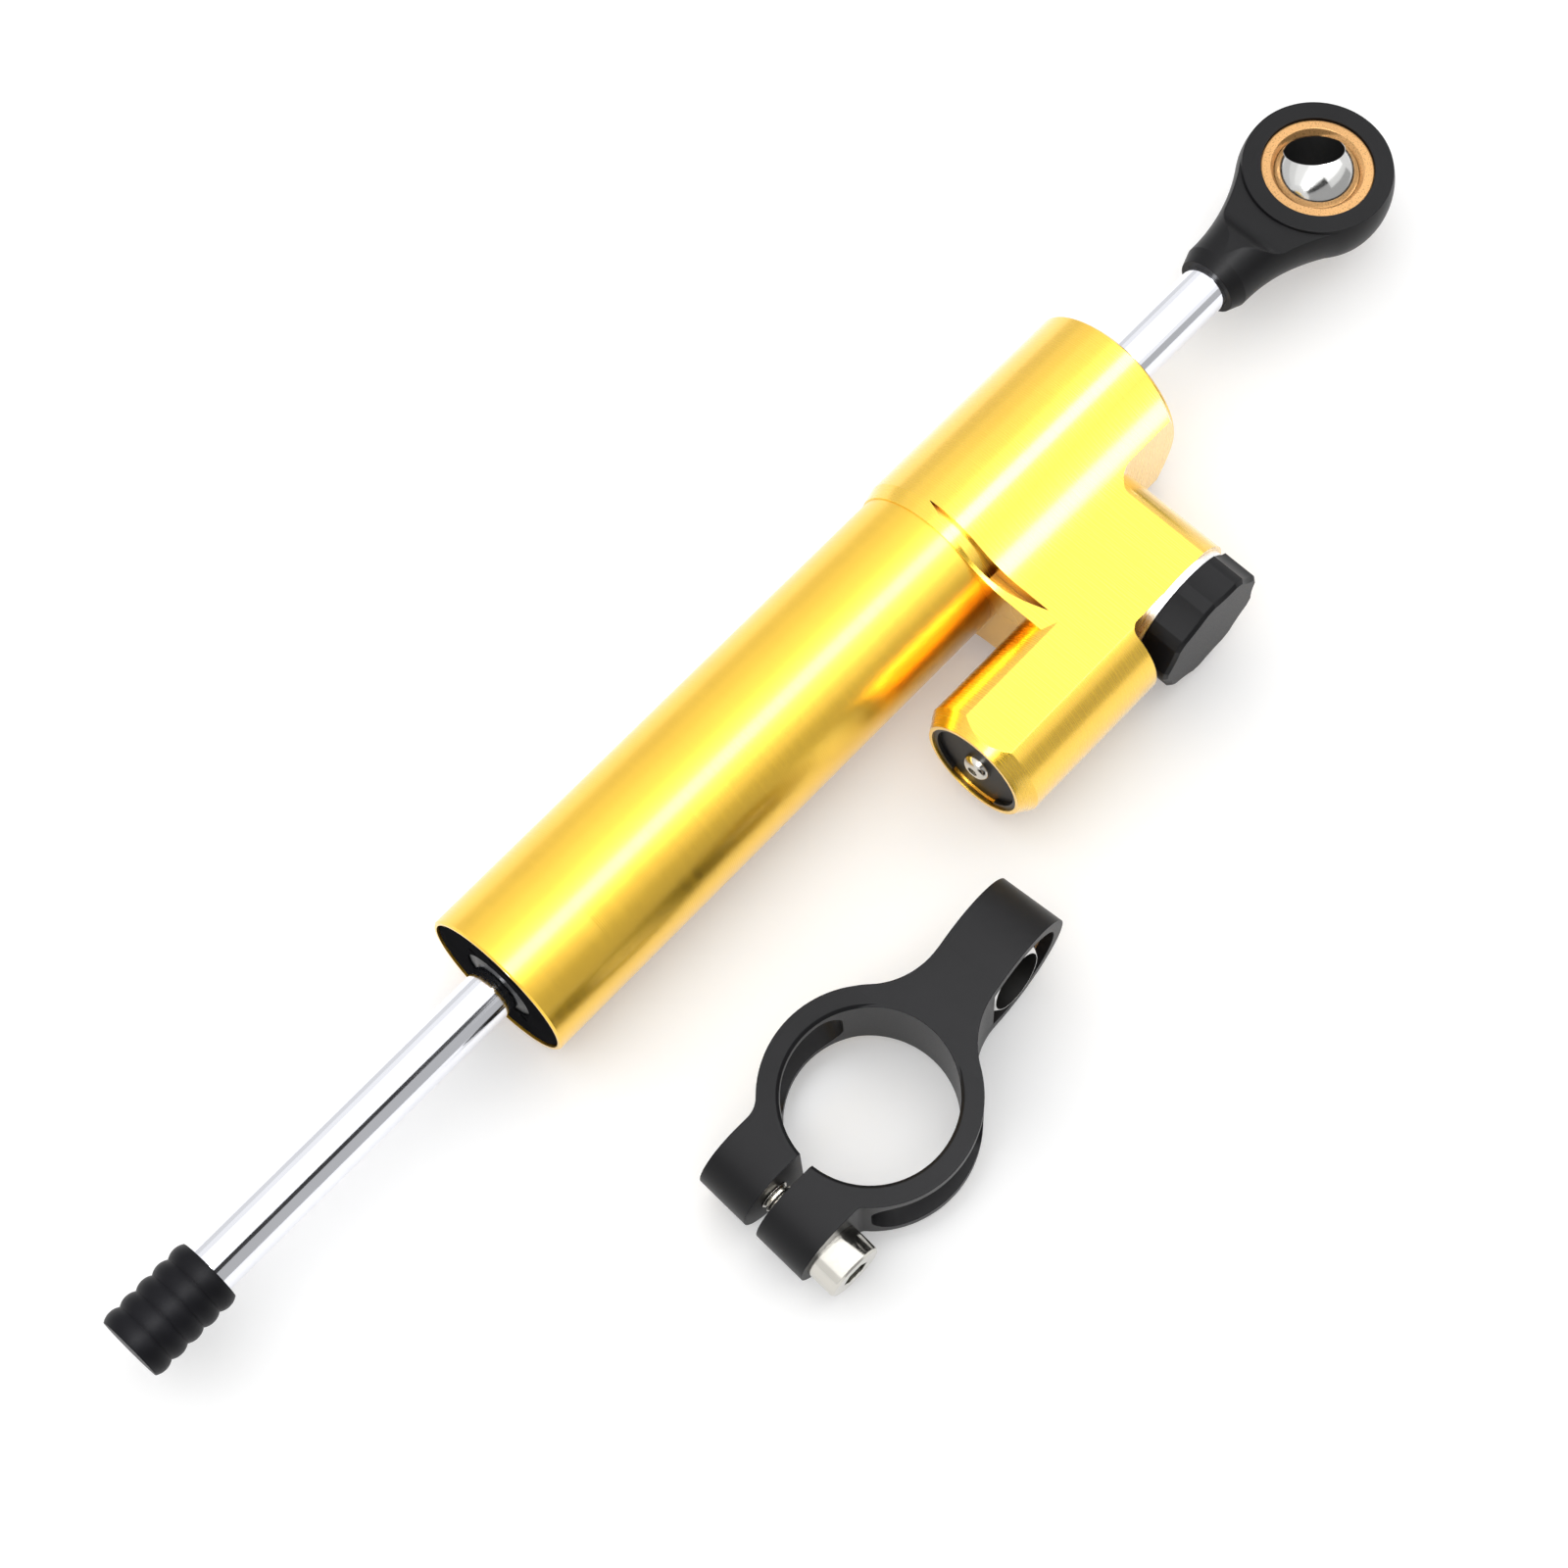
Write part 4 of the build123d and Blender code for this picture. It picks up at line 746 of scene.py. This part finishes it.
@dataclass
class Studio:
    """The pale floor, the soft light overhead and the plain surroundings."""

    middle_x: float = -0.16
    floor_z: float = -17.1 * MM
    floor_size: float = 6.0
    floor_colour: Colour = (0.8, 0.8, 0.8, 1.0)
    floor_lift: float = 0.24
    lamp_height: float = 0.9
    lamp_y: float = 0.52
    lamp_width: float = 2.1
    lamp_depth: float = 2.0
    lamp_level: float = 1.3
    world_level: float = 0.5

    def build(self) -> None:
        """Set the whole studio."""
        self.set_view()
        self.light_world()
        self.lay_floor()
        self.hang_lamp()
        for board in BOARDS:
            board.build()

    def set_view(self) -> None:
        """Use the plain view transform."""
        bpy.context.scene.view_settings.view_transform = "Standard"

    def seen_ray(self, graph: ShaderGraph) -> bpy.types.NodeSocket:
        """Tell whether the camera, a gloss or a clear piece sees the surface.

        Args:
            graph: the material that asks.

        Returns:
            1 for such a ray, and 0 for any other.
        """
        path = graph.add("ShaderNodeLightPath")
        first = graph.add("ShaderNodeMath", operation="MAXIMUM")
        second = graph.add("ShaderNodeMath", operation="MAXIMUM")
        graph.join(path.outputs["Is Camera Ray"], first.inputs[0])
        graph.join(path.outputs["Is Glossy Ray"], first.inputs[1])
        graph.join(first.outputs["Value"], second.inputs[0])
        graph.join(path.outputs["Is Transmission Ray"], second.inputs[1])
        return second.outputs["Value"]

    def light_world(self) -> None:
        """Make the surroundings white to the eye and grey to the light."""
        world = bpy.data.worlds.new("studio")
        world.use_nodes = True
        bpy.context.scene.world = world
        world.node_tree.nodes.clear()
        graph = ShaderGraph(world)
        level = graph.remap(self.seen_ray(graph), UNIT_RANGE, (self.world_level, 1.0))
        background = graph.add("ShaderNodeBackground", Color=WHITE)
        graph.join(level, background.inputs["Strength"])
        output = graph.add("ShaderNodeOutputWorld")
        graph.join(background.outputs["Background"], output.inputs["Surface"])

    def lay_floor(self) -> None:
        """Lay the floor that takes the soft shadow."""
        half = self.floor_size / 2
        mesh = bpy.data.meshes.new("floor")
        corners = [(-half, -half, 0), (half, -half, 0), (half, half, 0), (-half, half, 0)]
        mesh.from_pydata(corners, [], [(0, 1, 2, 3)])
        graph = ShaderGraph.named("floor_paper")
        paper = graph.add("ShaderNodeBsdfDiffuse", Color=self.floor_colour)
        glow = graph.add("ShaderNodeEmission", Color=WHITE)
        lift = graph.add("ShaderNodeMath", operation="MULTIPLY")
        lift.inputs[1].default_value = self.floor_lift
        graph.join(self.seen_ray(graph), lift.inputs[0])
        graph.join(lift.outputs["Value"], glow.inputs["Strength"])
        both = graph.add("ShaderNodeAddShader")
        graph.join(paper.outputs["BSDF"], both.inputs[0])
        graph.join(glow.outputs["Emission"], both.inputs[1])
        output = graph.add("ShaderNodeOutputMaterial")
        graph.join(both.outputs["Shader"], output.inputs["Surface"])
        mesh.materials.append(graph.material)
        floor = bpy.data.objects.new("floor", mesh)
        floor.location = (self.middle_x, 0, self.floor_z)
        bpy.context.scene.collection.objects.link(floor)

    def hang_lamp(self) -> None:
        """Hang the large soft lamp over the object."""
        data = bpy.data.lights.new("overhead_softbox", "AREA")
        data.shape = "RECTANGLE"
        data.size = self.lamp_width
        data.size_y = self.lamp_depth
        data.energy = self.lamp_level * math.pi * self.lamp_width * self.lamp_depth
        lamp = bpy.data.objects.new("overhead_softbox", data)
        lamp.location = (self.middle_x, self.lamp_y, self.lamp_height)
        lamp.visible_glossy = False
        bpy.context.scene.collection.objects.link(lamp)


def main() -> None:
    """Build the camera, the studio and each sub-assembly in order."""
    logging.basicConfig(level=logging.INFO, format="%(name)s: %(message)s")
    PhotoCamera().build()
    Studio().build()
    for assembly in (Barrel(), Head(), Rod(), RodEnd(), Adjuster(), Reservoir(), Bracket()):
        assembly.build()


if __name__ == "__main__":
    main()
